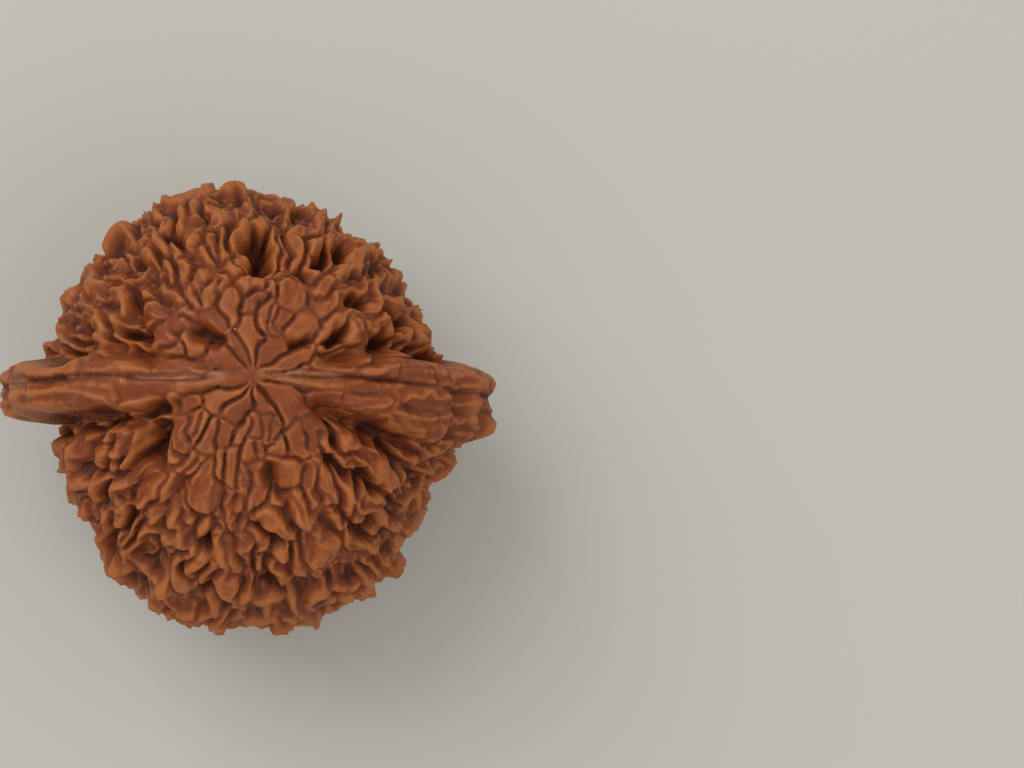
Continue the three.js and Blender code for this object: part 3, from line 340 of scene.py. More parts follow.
BACK_PLATES = (
    (-1.7, 10.4, -1.2, 8.6, 0.6, 0.15, 0), (0.2, 9.3, 1.1, 10.3, 0.45, 0.1, 0),
    (1.5, 7.4, 1.7, 9.6, 0.42, 0, 0), (2.35, 7.2, 2.5, 8.9, 0.2, 0, 0),
    (2, 10.9, 2.3, 11.6, 0.28, 0.1, 0), (4.1, 9.9, 4.2, 11.4, 1.1, 0.2, 0.3),
    (3.4, 12.4, 3.3, 12.7, 0.35, 0.2, 0), (5.1, 12.4, 5.2, 12.6, 0.35, 0.2, 0),
    (-0.9, 11.6, 0.9, 11.7, 0.55, 0.4, 0), (-1.8, 13.2, -1.5, 12.4, 0.45, 0.4, 0),
    (-0.7, 13.6, -0.5, 14.5, 0.38, 0.4, 0), (-1.1, 15, -0.7, 16.8, 0.5, 0.6, 0),
    (2.3, 13.4, 2.2, 16.2, 0.45, 0.5, 0), (0.9, 12.8, 1.8, 13.1, 0.2, 0.3, 0),
    (3.3, 13.2, 3.3, 16.4, 0.15, 0, 0), (4.6, 13.8, 5.2, 16.8, 0.55, 0.4, 0),
    (5.9, 14.2, 6.6, 12.6, 0.45, 0.3, 0), (6.3, 15.6, 6.5, 15, 0.45, 0.3, 0),
    (-3.5, 9.6, -3.6, 10.9, 0.5, 0, 0), (-2.5, 11.3, -2.5, 11.6, 0.3, 0, 0),
    (-4.8, 11.4, -4.6, 12, 0.35, 0, 0), (-5.6, 10.8, -5, 9.6, 0.22, 0, 0),
    (-5.9, 12, -6.2, 13.3, 0.55, 0.4, 0), (-4.5, 13.6, -4.6, 14.5, 0.32, 0.3, 0),
    (-5.1, 14.8, -4.9, 15.8, 0.35, 0.3, 0), (-6.6, 14.5, -6.6, 15.9, 0.3, 0.4, 0),
    (-2.5, 14.4, -2.4, 16.4, 0.35, 0.4, 0), (-3.3, 14.6, -3.4, 16, 0.25, 0.2, 0),
    (-2.6, 17.2, -3.5, 18.2, 0.4, 0.5, 0), (-6.2, 17.4, -6.5, 18.8, 0.45, 0.6, 0),
    (-7.8, 17.2, -7.9, 18.4, 0.35, 0.4, 0), (-7.6, 14.6, -8.4, 16.2, 0.4, 0.3, 0),
    (-7.4, 12.6, -7.9, 13.2, 0.4, 0.1, 0), (-8.3, 11.4, -6.9, 9.9, 0.3, 0.1, 0),
    (-6.3, 9.2, -5.4, 8.6, 0.3, 0, 0), (-6.2, 7.8, -5.6, 7.4, 0.3, 0, 0),
    (-5.6, 6.8, -4.8, 5.3, 0.42, 0.1, 0), (-8.8, 8.9, -8.9, 9.4, 0.4, 0.3, 0),
    (-10.4, 11.4, -8.8, 10.6, 0.35, 0.3, 0), (-11.9, 9.4, -12.4, 11, 0.3, 0.4, 0),
    (-12.4, 7.6, -12.6, 8.6, 0.5, 0.3, 0), (-13.6, 5.2, -14, 6.2, 0.7, 0.3, 0),
    (-12.3, 6.6, -10.2, 5.5, 0.35, 0.3, 0), (-9, 5.8, -7.4, 6.6, 0.35, 0.1, 0),
    (-8, 5.3, -6.8, 5.5, 0.35, -0.2, 0), (-16.3, 5.2, -17.2, 7.2, 0.32, 0.5, 0),
    (-18.6, 6, -18.9, 7.8, 0.65, 0.4, 0), (-9.3, 13.4, -9.6, 15.2, 0.35, 0.4, 0),
    (-11.4, 14.2, -11.5, 14.7, 0.3, 0.3, 0), (-10.3, 12.6, -10.9, 12.5, 0.25, 0.3, 0),
    (7.2, 7, 8.4, 8.6, 0.55, 0.2, 0.1), (9.9, 6.2, 9.7, 7.2, 0.35, 0.3, 0), (4.2, 7, 5.5, 8.2, 0.5, 0, 0),
    (2.7, 7.6, 3.9, 8.6, 0.3, 0, 0), (6.9, 9.2, 8.3, 10.1, 0.28, 0.1, 0),
    (7, 10.9, 7.9, 11.8, 0.45, 0.2, 0), (8.6, 12, 8.8, 13.4, 0.45, 0.3, 0),
    (12.2, 9.9, 12.4, 11.4, 0.4, 0.4, 0), (12.4, 7.4, 12.9, 8.8, 0.4, 0.4, 0),
    (14, 5.2, 15, 7.6, 0.35, 0.5, 0), (15.6, 5.8, 16.4, 6.8, 0.6, 0.2, 0),
    (10.3, 13.4, 10.6, 15, 0.4, 0.4, 0), (7.8, 14, 8.6, 15.4, 0.4, 0.3, 0),
)

# %% Hollows: ends x1, y1, x2, y2, radius, depth, in mm
HOLLOWS = (
    (-8.2, -0.5, -9.4, -1.1, 0.8, 1.7), (-12, -1.3, -13.6, -1.9, 0.8, 1.9),
    (-16.9, -1.5, -17.3, -2.4, 0.6, 1.5), (-14.4, -3, -15.6, -3.4, 0.9, 1.2),
    (-8.2, -2.8, -9.6, -5.2, 1, 2.2), (2.4, -7, 3.4, -8, 0.7, 0.9), (2, -11.8, 2.6, -13.6, 0.5, 1),
    (8, -2.2, 9.2, -4, 0.4, 1), (12.6, -2.4, 15, -4.4, 1, 2.2), (8.2, -5.4, 9.6, -6.6, 0.5, 1.2),
    (11.2, -7.1, 12.6, -7.6, 0.6, 1.6), (14.2, -9.2, 15, -9.6, 0.8, 1.3),
    (10.9, -11.6, 11.6, -12.2, 0.7, 1.2), (-4, -13, -4.2, -13.4, 0.5, 1.4),
    (-3.4, -17.4, -4, -18, 0.7, 1.3), (2.8, -17.4, 3, -18.2, 0.6, 1.2), (0.8, 13.6, 0.9, 16.2, 0.75, 2.2),
    (5.4, 12.9, 5.9, 12.6, 0.5, 0.8), (-4.4, 7, -3.2, 6.4, 0.6, 1.1), (-10.2, 6.6, -11.6, 7.2, 0.7, 1.8),
    (-10.6, 8.6, -10.9, 10.6, 1, 1), (-15.4, 5.6, -15.9, 7.4, 0.6, 1.9),
    (-9.8, 4.9, -10.6, 4.9, 0.6, 0.9), (-10.6, 13.2, -10.7, 14, 0.55, 1.6),
    (-6, 16.2, -7.2, 16.6, 0.6, 1.5), (8.2, 6.4, 8.7, 7.2, 0.6, 1.5), (10.6, 9.6, 10.8, 10.6, 0.5, 1.6),
    (12.6, 5.6, 13.3, 6.6, 0.7, 1.8), (8.6, 14.2, 9.4, 15, 0.6, 1.7), (6.7, 13.6, 7.3, 14.6, 0.5, 1.3),
    (4.4, 5.9, 5.2, 6.2, 0.5, 0.8), (15, 8.2, 14.2, 8.6, 0.7, 1),
)

# %% Open cracks: lines x1, y1, x2, y2 in mm
OPEN_CRACKS = (
    (0.6, 5, -0.7, 7.5), (-0.7, 7.5, -0.5, 9.5), (1.6, 6.3, 1, 8), (2.9, 17, 2.9, 13),
    (2.9, 13, 2.2, 10.8), (2.2, 10.8, 1.6, 9.8), (-3, 3.3, -4, 5.5), (3.5, 3.3, 6.4, 4.4),
    (-2.3, 2.3, -4.5, 0), (-4.5, 0, -4.6, -0.8), (-3.3, -1, -4.3, -3), (-4.3, -3, -6, -6),
    (0.5, 0.5, -0.3, -1.8), (-0.3, -1.8, -1.3, -3.2), (-1.3, -3.2, -2.1, -5), (-2.1, -5, -2.4, -10),
    (2, 2.2, 3, -0.3), (3, -0.3, 4.2, -4), (3, -1.8, 4, -4), (1.5, -5.5, -0.1, -10),
    (4.3, -5.8, 5.6, -8.8),
)

# %% Dusty places: x, y, radius and strength, in mm
DUSTY = (
    (-2.5, 2.8, 1.2, 0.8), (-5.5, 2.7, 1.8, 0.6), (-9, 2.8, 2, 0.4), (-13, 3.2, 1.6, 0.5),
    (1.3, 3, 0.6, 0.7), (4, 2.9, 1.6, 0.7), (8, 2.9, 2, 0.5), (-21.5, 3, 1.9, 0.8),
    (-22, 1, 1.4, 0.6), (0.3, -19.5, 1.6, 0.7), (3.4, -2.6, 0.8, 0.6), (2, -8, 2, 0.3),
    (-11, 14, 2, 0.3),
)

# %% Drop the plates and hollows onto the shell
SIGHT = (0.016, 0.060)
SEEN_MIDDLE = (0.0, 1.7)
SIGHT_DISTANCE = 240.0
SIGHT_TOP = 24.0
SIGHT_STEPS = 26
PETAL_TAPER = 0.85
PLATE_TAPER = 0.35


def on_shell(x, y):
    """Points on the shell under places seen from above, where higher places look larger."""
    low = np.zeros(len(x))
    high = np.full(len(x), SIGHT_TOP)

    def at(z):
        size = 1 - z / SIGHT_DISTANCE
        across = (x - SEEN_MIDDLE[0]) * size - SIGHT[0] * z
        along = (y - SEEN_MIDDLE[1]) * size - SIGHT[1] * z
        return np.stack((across, along, z), 1)

    for _ in range(SIGHT_STEPS):
        z = (low + high) / 2
        inside = np.linalg.norm(at(z), axis=1) < shell(unit(at(z)))[0]
        low = np.where(inside, z, low)
        high = np.where(inside, high, z)
    d = unit(at(low))
    return d * shell(d)[0][:, None]


def spine_distance(point, a, b):
    """Distance from each point to each spine, and how far along it the nearest place is."""
    ab = b - a
    length = (ab ** 2).sum(1) + 1e-9
    from_a = point @ ab.T - (a * ab).sum(1)
    along = np.clip(from_a / length, 0, 1)
    square = (point ** 2).sum(1)[:, None] - 2 * point @ a.T + (a ** 2).sum(1)
    square = square - 2 * along * from_a + along * along * length
    return np.sqrt(np.maximum(square, 0)), along


placed = np.array(PETALS + FLANGE_PLATES + FRONT_PLATES + BACK_PLATES)
taper = np.where(np.arange(len(placed)) < len(PETALS), PETAL_TAPER, PLATE_TAPER)
hand_a = on_shell(placed[:, 0], placed[:, 1])
hand_b = on_shell(placed[:, 2], placed[:, 3])
hand_look = np.column_stack((placed[:, 4:7], taper))
pits = np.array(HOLLOWS)
pit_a = on_shell(pits[:, 0], pits[:, 1])
pit_b = on_shell(pits[:, 2], pits[:, 3])
dusty = np.array(DUSTY)
dusty_at = on_shell(dusty[:, 0], dusty[:, 1])
lines = np.array(OPEN_CRACKS)
line_a = on_shell(lines[:, 0], lines[:, 1])
line_b = on_shell(lines[:, 2], lines[:, 3])
print("plates by hand:", len(placed), "hollows:", len(pits), "open cracks:", len(lines))

# %% [markdown]
# ## Knobs by rule
# Rings of knobs run from the tip to the base. A knob is a plate too, but longer than wide, and it
# points away from the tip as on the real nut. Those that would land on a listed plate, or
# on the flange, are left out. The flange gets two rows of long plates on each side of its seam.

# %% Rings of knobs, and rows along the flange
MEAN_RADIUS = 20.5
POLE_GAP = 0.1
KNOB_SEED = 2026
KNOB_LENGTH = 3.2
KNOB_SHORTEST = 2.6
KNOB_SPACING = (1.0, 1.3)
FEWEST_IN_RING = 7
INNER_RINGS = 0.95

# Rows along the flange: place across its half width, and longest plate in radians
ROWS = ((0.26, 0.5), (0.8, 0.34))
ROW_GAP = 0.04
ROW_TOP = 13
ROW_HALF_WIDTH = 0.3


def direction(colat, around):
    around = np.asarray(around)
    flat = np.sin(colat)
    return np.stack((flat * np.cos(around), flat * np.sin(around), np.cos(colat) + 0 * around), 1)


def on_ring(colat, around):
    d = direction(np.asarray(colat), around)
    return d * shell(d)[0][:, None]


def hand_clear(point):
    """How far each point is from the nearest listed plate."""
    distance, _ = spine_distance(point, hand_a, hand_b)
    return (distance - hand_look[:, 0]).min(1)


def stands_clear(a, b, at_ends, at_middle):
    """Whether the plates from a to b keep these distances from the listed plates."""
    middle = (a + b) / 2
    ends = np.minimum(hand_clear(a), hand_clear(b))
    return (ends > at_ends) & (hand_clear(middle) > at_middle)


def ring_knobs(draw):
    """Knobs all over the shell, as spine ends and looks: half width, rise, dish and taper."""
    ends, looks = [], []
    ring = POLE_GAP
    while ring < math.pi - POLE_GAP:
        s = math.sin(ring)
        length = KNOB_LENGTH if ring > INNER_RINGS else KNOB_SHORTEST + 3.0 * min(1, s * 1.4)
        width = KNOB_SPACING[0] + KNOB_SPACING[1] * min(1, s * 1.6)
        count = max(FEWEST_IN_RING, round(2 * math.pi * MEAN_RADIUS * s / width))
        offset = draw()
        for j in range(count):
            around = 2 * math.pi * (j + offset + draw(-0.28, 0.28)) / count
            colat = ring + draw(-0.42, 0.42) * length / MEAN_RADIUS
            reach = 0.5 * length / MEAN_RADIUS * draw(0.35, 0.85)
            lean = reach * draw(-0.3, 0.3) / max(0.2, s)
            looks.append((draw(0.35, 0.75), 0.9 * (draw() - 0.45), max(0, draw(-0.6, 0.7)), PLATE_TAPER))
            ends.append((colat - reach, around - lean, colat + reach, around + lean))
        ring += 0.85 * length / MEAN_RADIUS
    ends, looks = np.array(ends), np.array(looks)
    a = on_ring(ends[:, 0], ends[:, 1])
    b = on_ring(ends[:, 2], ends[:, 3])
    where = shell(unit((a + b) / 2))[1]
    keep = (np.abs(where["y"]) > where["half"] * 0.95) & stands_clear(a, b, 0.3, 0.55)
    return a[keep], b[keep], looks[keep]


def flange_rows(draw):
    """Long plates on both sides of the seam, as spine ends and looks."""
    ends, looks = [], []
    for sign in (-1, 1):
        for row, step in ROWS:
            turn = -math.pi + draw(0, step)
            while turn < math.pi:
                length = step * draw(0.55, 1.2)
                for at in (turn + ROW_GAP, turn + length - ROW_GAP):
                    d = np.array(((math.sin(at), 0.0, math.cos(at)),))
                    reach = shell(d)[0][0]
                    half = flange_half(abs(d[0, 0]), reach * d[0, 0], reach * d[0, 2], sign > 0)
                    y = sign * row * float(half) * (1 + 0.15 * draw(-1, 1))
                    ends.append((reach * d[0, 0], y, reach * d[0, 2]))
                looks.append((ROW_HALF_WIDTH, 0.2 * (draw() - 0.5), 0.0, 0.0))
                turn += length
    a, b = np.array(ends[::2]), np.array(ends[1::2])
    keep = ((a + b)[:, 2] / 2 < ROW_TOP) & stands_clear(a, b, 0.2, 0.3)
    return a[keep], b[keep], np.array(looks)[keep]


draw = Draw(KNOB_SEED)
knob_a, knob_b, knob_look = ring_knobs(draw)
row_a, row_b, row_look = flange_rows(draw)
plate_a = np.concatenate((hand_a, knob_a, row_a))
plate_b = np.concatenate((hand_b, knob_b, row_b))
plate_look = np.concatenate((hand_look, knob_look, row_look))
print("knobs by rule:", len(knob_a), "flange plates by rule:", len(row_a))

# %% [markdown]
# ## Plates and cracks
# Each point takes its height from the plate whose edge is nearest. Halfway to the next plate runs
# a crack, so the plates split the shell between them like drying mud. Straight edges would look
# cut with a knife, so the points are first moved a little by wave fields.

# %% Find the nearest plates
CHUNK = 6000
OUTER_ZONE = (0.30, 0.95)
BASE_ZONE = (math.pi - 0.2, math.pi - 0.9)
RULE_ZONE = (0.85, 1.25)
OPEN_REACH = 0.45
BEND_WAVES = 20

# Bends of the plates' edges: wavelength in mm, seed and size in mm
BENDS = ((4.5, 21, 0.30), (1.8, 31, 0.12))


def nearest_plates(point):
    """For each point: past its plate's edge, past the next one's, which plate, and where on it."""
    near, beyond, inside, end, side = (np.empty(len(point)) for _ in range(5))
    which = np.empty(len(point), int)
    for i in range(0, len(point), CHUNK):
        part = slice(i, i + CHUNK)
        distance, t = spine_distance(point[part], plate_a, plate_b)
        edge = distance - plate_look[:, 0] * (1 - plate_look[:, 3] * (1 - smooth(0, 0.6, t)))
        two = np.argpartition(edge, 1, axis=1)[:, :2]
        pair = np.take_along_axis(edge, two, 1)
        swap = np.argmin(pair, axis=1)
        rows = np.arange(len(pair))
        which[part] = two[rows, swap]
        near[part], beyond[part] = pair[rows, swap], pair[rows, 1 - swap]
        inside[part] = distance[rows, which[part]]
        end[part] = 2 * t[rows, which[part]] - 1
        pair_t = np.take_along_axis(t, two, 1)
        side[part] = (smooth(0, 0.2, pair_t) * smooth(0, 0.2, 1 - pair_t)).max(1)
    crack = (beyond - near) / 2
    return {"near": near, "crack": crack, "which": which, "inside": inside, "end": end, "beside": side}


def bent(point, outer, on_flange):
    """The points moved a little by wave fields, so that no plate has a straight edge."""
    moved = np.zeros(point.shape)
    for wavelength, seed, size in BENDS:
        fields = [waves(point, wavelength, seed + axis, BEND_WAVES) for axis in range(3)]
        moved += np.stack(fields, 1) * size
    return point + moved * ((0.6 + 0.4 * outer) * (1 - 0.5 * on_flange))[:, None]


def places(d):
    """What the relief needs at each direction: the shell, its zones and the nearest plates."""
    radius, where = shell(d)
    point = d * radius[:, None]
    colat = where["colat"]
    outer = smooth(*OUTER_ZONE, colat) * smooth(*BASE_ZONE, colat)
    q = bent(point, outer, where["on_flange"])
    to_line, _ = spine_distance(point, line_a, line_b)
    opened = np.exp(-(to_line.min(1) / OPEN_REACH) ** 2)
    where.update(nearest_plates(q), outer=outer, q=q, point=point, opened=opened)
    where.update(body=1 - where["on_flange"], by_rule=smooth(*RULE_ZONE, colat))
    return where


# %% [markdown]
# ## Relief of the plates
# Near the tip the plates are flat and nearly touch. Further out they turn into crests with hollow
# flanks, on ground that lies lower between them. A thin plate has fainter grooves beside it.

# %% Height of the plates and depth of the hollows
GROOVE_TIP = 0.32
GROOVE_OUTER = 0.30
GROOVE_WIDTH = 0.20
GROOVE_WIDENS = 0.27
GROOVES_VARY = (8.0, 49, 24)
THIN_PLATE = (0.1, 0.5)
SETTLES = 0.25
KNOB_DROP = 0.50
KNOB_DROP_LOSS = 0.32
KNOB_SLOPE = 0.22
DISH_GAIN = 1.1
DISH_WIDTH = 0.7
CROWN = 0.09
CROWN_GAIN = 0.03
CROWN_WIDTH = 0.6
HOLLOW_GAIN = 1.35
HOLLOW_WIDENS = 1.3
HOLLOW_STEEP = 2.2


def plate_relief(w):
    """Height of the plates, how deep in a groove each point is, and how far it is on a plate."""
    crack, outer, body, by_rule = w["crack"], w["outer"], w["body"], w["by_rule"]
    half, rise, dish = plate_look[w["which"], :3].T
    settled = 1 - np.exp(-(crack / SETTLES) ** 2)
    uneven = np.clip(0.85 + 0.45 * waves(w["q"], *GROOVES_VARY), 0.2, 1.5)
    bold = 0.45 + 0.55 * smooth(*THIN_PLATE, half)
    wide = GROOVE_WIDTH + GROOVE_WIDENS * outer
    groove = np.exp(-(crack / wide) ** 2) * (0.4 + 0.6 * w["beside"]) * bold
    deep = GROOVE_TIP * (1 - outer) + GROOVE_OUTER * outer * uneven
    height = -deep * groove * (0.5 * body + 0.5)
    ramp = smooth(0, 1, (w["near"] + 0.08 + 0.45 * outer) / (0.3 + outer))
    height -= ramp * outer * (KNOB_DROP - KNOB_DROP_LOSS * by_rule) * body * uneven
    slope = KNOB_SLOPE * outer * body * w["end"] * (1 - 0.5 * by_rule)
    height += settled * (rise * (0.6 + 0.4 * outer) + slope)
    height -= dish * DISH_GAIN * np.exp(-(w["inside"] / DISH_WIDTH) ** 2) * settled
    height -= (CROWN + CROWN_GAIN * outer) * np.clip(w["inside"] / CROWN_WIDTH, 0, 1.5) ** 2
    return height, groove, settled


def hollow_depth(q):
    """Depth of the deepest hollow that each point is in."""
    deepest = np.zeros(len(q))
    for a, b, radius, depth in zip(pit_a, pit_b, pits[:, 4], pits[:, 5]):
        distance, _ = spine_distance(q, a[None], b[None])
        away = distance[:, 0] / (radius * HOLLOW_WIDENS)
        deepest = np.maximum(deepest, depth * HOLLOW_GAIN * np.exp(-away ** HOLLOW_STEEP))
    return deepest


# %% [markdown]
# ## Folds and ridges
# Between the knobs the ground is folded, and the folds run from the tip to the base. Bending a
# wave field into a sharp crest with a round valley gives such a fold, and unrolling the shell
# from its tip draws the folds out. The flange has ridges of the same kind that run along it.

# %% Height of the folds and of the flange's ridges
FAN_STRETCH = 0.42
FOLD_LARGE = (11.0, 41, 30)
FOLD_LARGE_DEPTH = 1.2
FOLD_MIDDLE = (5.0, 45, 40)
FOLD_MIDDLE_DEPTH = 1.5
FOLDS_VARY = (5.0, 47, 24)
FOLD_SMALL = (2.1, 46, 40)
FOLD_SMALL_DEPTH = 0.44
FOLD_FINE = (1.0, 54, 40)
FOLD_FINE_DEPTH = 0.13
FOLD_FINE_EDGE = 0.006
FIBRE_STRETCH = (0.12, 1, 0.12)
FIBRE_FINE = (1.0, 51, 24)
FIBRE_DEPTH = 0.05
RIDGE_FINE = (2.6, 52, 24)
RIDGE_FINE_DEPTH = 0.32
RIDGE_BROAD_STRETCH = (0.5, 1, 0.5)
RIDGE_BROAD = (5.0, 53, 24)
RIDGE_BROAD_DEPTH = 0.35
RIDGE_DROP = 0.15


def crests(point, wavelength, seed, count, edge=0.02):
    """A field with sharp crests and round valleys, mean about 0; a smaller edge is sharper."""
    field = waves(point, wavelength, seed, count)
    return 0.55 - np.tanh(1.3 * (np.sqrt(field ** 2 + edge) - 0.14))


def fan(point):
    """The shell unrolled from the tip, so that a field on it stretches away from the tip."""
    flat = np.hypot(point[:, 0], point[:, 1]) + 1e-9
    around = point[:, :2] / flat[:, None] * MEAN_RADIUS
    down = np.arctan2(flat, point[:, 2]) * MEAN_RADIUS * FAN_STRETCH
    return np.column_stack((around, down))


def fold_relief(q, fanned):
    """Height of the folds of the outer zone."""
    varies = 0.8 + 0.45 * np.tanh(waves(q, *FOLDS_VARY))
    folds = FOLD_LARGE_DEPTH * crests(q, *FOLD_LARGE)
    folds = folds + FOLD_MIDDLE_DEPTH * crests(fanned, *FOLD_MIDDLE) * varies
    folds = folds + FOLD_SMALL_DEPTH * crests(fanned, *FOLD_SMALL)
    return folds + FOLD_FINE_DEPTH * crests(fanned, *FOLD_FINE, FOLD_FINE_EDGE)


def flange_ridges(q):
    """Height of the fibres and ridges along the flange."""
    drawn = q * FIBRE_STRETCH
    ridges = FIBRE_DEPTH * waves(drawn, *FIBRE_FINE) + RIDGE_FINE_DEPTH * crests(drawn, *RIDGE_FINE)
    return ridges + RIDGE_BROAD_DEPTH * crests(q * RIDGE_BROAD_STRETCH, *RIDGE_BROAD) - RIDGE_DROP


# %% [markdown]
# ## The whole relief
# A crack is thinner than a triangle of the mesh. A vertex in it could only be dark or not, and the
# crack would turn into a row of beads. So the mesh carries each point's distance from the crack,
# which stays smooth between vertices, and the shader draws the dark line from it later, as painted shade
# for a crack too thin for the mesh.
#
# The underside can't be seen in the photograph. Three small knobs round the line of the nut's
# weight hold it still on a level floor, with a flat spot between them.

# %% Sum of the relief, and the marks for the shader
FOOT_ANGLES = (90, 210, 330)
SWELLS = (2.6, 42, 30)
SWELL_DEPTH = 0.05
PITTING = (0.9, 43, 30)
PITTING_DEPTH = 0.02
FURROWS = (1.6, 48, 30)
FURROW_DEPTH = 0.04
CRACK_DEPTH = 0.12
CRACK_WIDTH = 0.20
SEAM_DEPTH = 0.15
SEAM_WIDTH = 0.3
SEAM_FAINTER = 0.06
HEIGHT_LIMIT = 0.8
PLATE_TINT_STEP = 2.4
GRAIN_ON_BODY = (1, 1, 0.35)
GRAIN_ON_FLANGE = (0.08, 1, 0.08)


def feet():
    """Places of the three knobs that the nut stands on, as points level with the floor."""
    around = np.radians(FOOT_ANGLES)
    flat = BASE_MIDDLE + FOOT_RADIUS * np.stack((np.cos(around), np.sin(around)), 1)
    return np.column_stack((flat, np.full(len(flat), FLAT_LIFT - BODY_BOTTOM)))


def foot_bump(point):
    return sum(np.exp(-((point - foot) ** 2).sum(1) / FOOT_WIDTH ** 2) for foot in feet())


def relief(d):
    """Points on the finished outside in directions d, in mm, with their height, marks and grain."""
    w = places(d)
    crack, outer, q, body = w["crack"], w["outer"], w["q"], w["body"]
    fanned = fan(q)
    height, groove, settled = plate_relief(w)
    height += body * outer * fold_relief(q, fanned) * (0.55 + 0.45 * w["by_rule"])
    height -= hollow_depth(q)
    height += FOOT_DROP * foot_bump(w["point"])
    height += body * SWELL_DEPTH * waves(q, *SWELLS)
    height += PITTING_DEPTH * waves(q, *PITTING) * (0.3 + outer)
    height += body * FURROW_DEPTH * waves(fanned, *FURROWS) * smooth(0.25, 0.6, w["colat"])
    height += w["on_flange"] * smooth(0.1, 0.4, w["side"]) * flange_ridges(q)
    from_seam = np.abs(w["y"]) + 1 - smooth(0.05, 0.2, w["side"])
    split = np.minimum(crack + (1 - w["opened"]) * (0.4 + 0.6 * body), from_seam + SEAM_FAINTER)
    crack_line = CRACK_DEPTH * np.exp(-(split / CRACK_WIDTH) ** 2)
    height -= crack_line + SEAM_DEPTH * np.exp(-(from_seam / SEAM_WIDTH) ** 2)
    height = np.minimum(height, HEIGHT_LIMIT + 0.25 * np.tanh((height - HEIGHT_LIMIT) / 0.5))
    # The groove and edge marks carry painted shade in the grooves and along the plates' edges, and split
    # carries it in the cracks.
    marks = {
        "groove": groove * (0.7 * body + 0.3) * (1 - 0.6 * outer),
        "split": split,
        "edge": crack + 0.06 * (1 - w["beside"]) + 0.35 * outer + 0.2 * w["on_flange"],
        "tint": np.sin(w["which"] * PLATE_TINT_STEP) * settled * (1 - 0.7 * outer),
        "on_flange": w["on_flange"],
    }
    grain = fanned * GRAIN_ON_BODY * body[:, None] + q * GRAIN_ON_FLANGE * w["on_flange"][:, None]
    return w["point"] + d * height[:, None], height, marks, grain


# %% [markdown]
# ## Mesh
# An icosphere has triangles of one size with no poles to pinch. Scaling its stereographic map
# draws them closer towards the tip, where the cracks are finest, and keeps their shape.

# %% Build the mesh
SPHERE_LEVELS = 6
SPHERE_CUTS = 2
PULL_TO_TIP = 1.75


def pulled(d):
    colat = np.arccos(np.clip(d[:, 2], -1, 1))
    moved = 2 * np.arctan(np.tan(np.minimum(colat, math.pi - 1e-6) / 2) / PULL_TO_TIP)
    return direction(moved, np.arctan2(d[:, 1], d[:, 0]))


nut_bmesh = bmesh.new()
bmesh.ops.create_icosphere(nut_bmesh, subdivisions=SPHERE_LEVELS, radius=1.0)
bmesh.ops.subdivide_edges(nut_bmesh, edges=nut_bmesh.edges[:], cuts=SPHERE_CUTS, use_grid_fill=True)
nut_mesh = bpy.data.meshes.new("walnut")
nut_bmesh.to_mesh(nut_mesh)
nut_bmesh.free()
count = len(nut_mesh.vertices)
sphere = np.empty(count * 3, np.float32)
nut_mesh.vertices.foreach_get("co", sphere)
directions = pulled(unit(sphere.reshape(-1, 3).astype(float)))
outside, height, marks, grain_place = relief(directions)
print("vertices:", count, "triangles:", len(nut_mesh.polygons))

# %% [markdown]
# ## Set it down
# The nut stands on the tips of its three knobs, with the flat spot level with them. All else that
# hangs too low is lifted just clear of the floor. Then the middle of the nut's box comes over the
# middle of the CAD model's box.

# %% Place the nut
outside[:, 2] += BODY_BOTTOM - FLAT_LIFT
from_middle = np.hypot(*(outside[:, :2] - BASE_MIDDLE).T)
clear = CLEAR_OF_FLOOR * smooth(FLAT_RADIUS, FLAT_RADIUS + 0.5, from_middle)
for foot in feet():
    apart = np.hypot(outside[:, 0] - foot[0], outside[:, 1] - foot[1])
    clear = clear * (1 - np.exp(-(apart / FOOT_TIP) ** 2))
outside[:, 2] = np.maximum(outside[:, 2], np.where(directions[:, 2] < 0, clear, 0))
middle = (outside.min(0) + outside.max(0)) / 2
outside[:, :2] += ((nut_low + nut_high) / 2 - middle)[:2]
nut_mesh.vertices.foreach_set("co", (outside * MM).astype(np.float32).ravel())
nut_mesh.polygons.foreach_set("use_smooth", np.ones(len(nut_mesh.polygons), bool))
nut_mesh.update()
walnut = bpy.data.objects.new("walnut_shell", nut_mesh)
bpy.context.scene.collection.objects.link(walnut)
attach(walnut, "root")
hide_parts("walnut")
print("middle moved by, mm:", middle.round(2))
print("box, mm:", outside.min(0).round(2), outside.max(0).round(2))

# %% [markdown]
# ## Measure crests and hollows
# The material lightens the crests and darkens the hollows from these measures, as painted light and
# painted shade.
# Rather than a render-time cavity node, the mesh is compared with smoothed copies of itself, and
# the difference is kept on it as an attribute.

# %% Crest and hollow attributes
FINE_PASSES = 3
FINE_RANGE = 0.06
BROAD_PASSES = 45
BROAD_RANGE = 0.6
FIBRE_LOSS_ON_FLANGE = 0.65


def store(name, values):
    """Keeps one number for each vertex on the mesh, where the material can read it."""
    layer = nut_mesh.attributes.new(name, "FLOAT", "POINT")
    layer.data.foreach_set("value", values.astype(np.float32))


def smoothed(values, passes, ends, neighbours):
    """The values averaged with their neighbours along the edges, several times."""
    for _ in range(passes):
        total = values.copy()
        for axis in range(values.shape[1]):
            total[:, axis] += np.bincount(ends[:, 0], values[ends[:, 1], axis], len(values))
            total[:, axis] += np.bincount(ends[:, 1], values[ends[:, 0], axis], len(values))
        values = total / (neighbours + 1)[:, None]
    return values


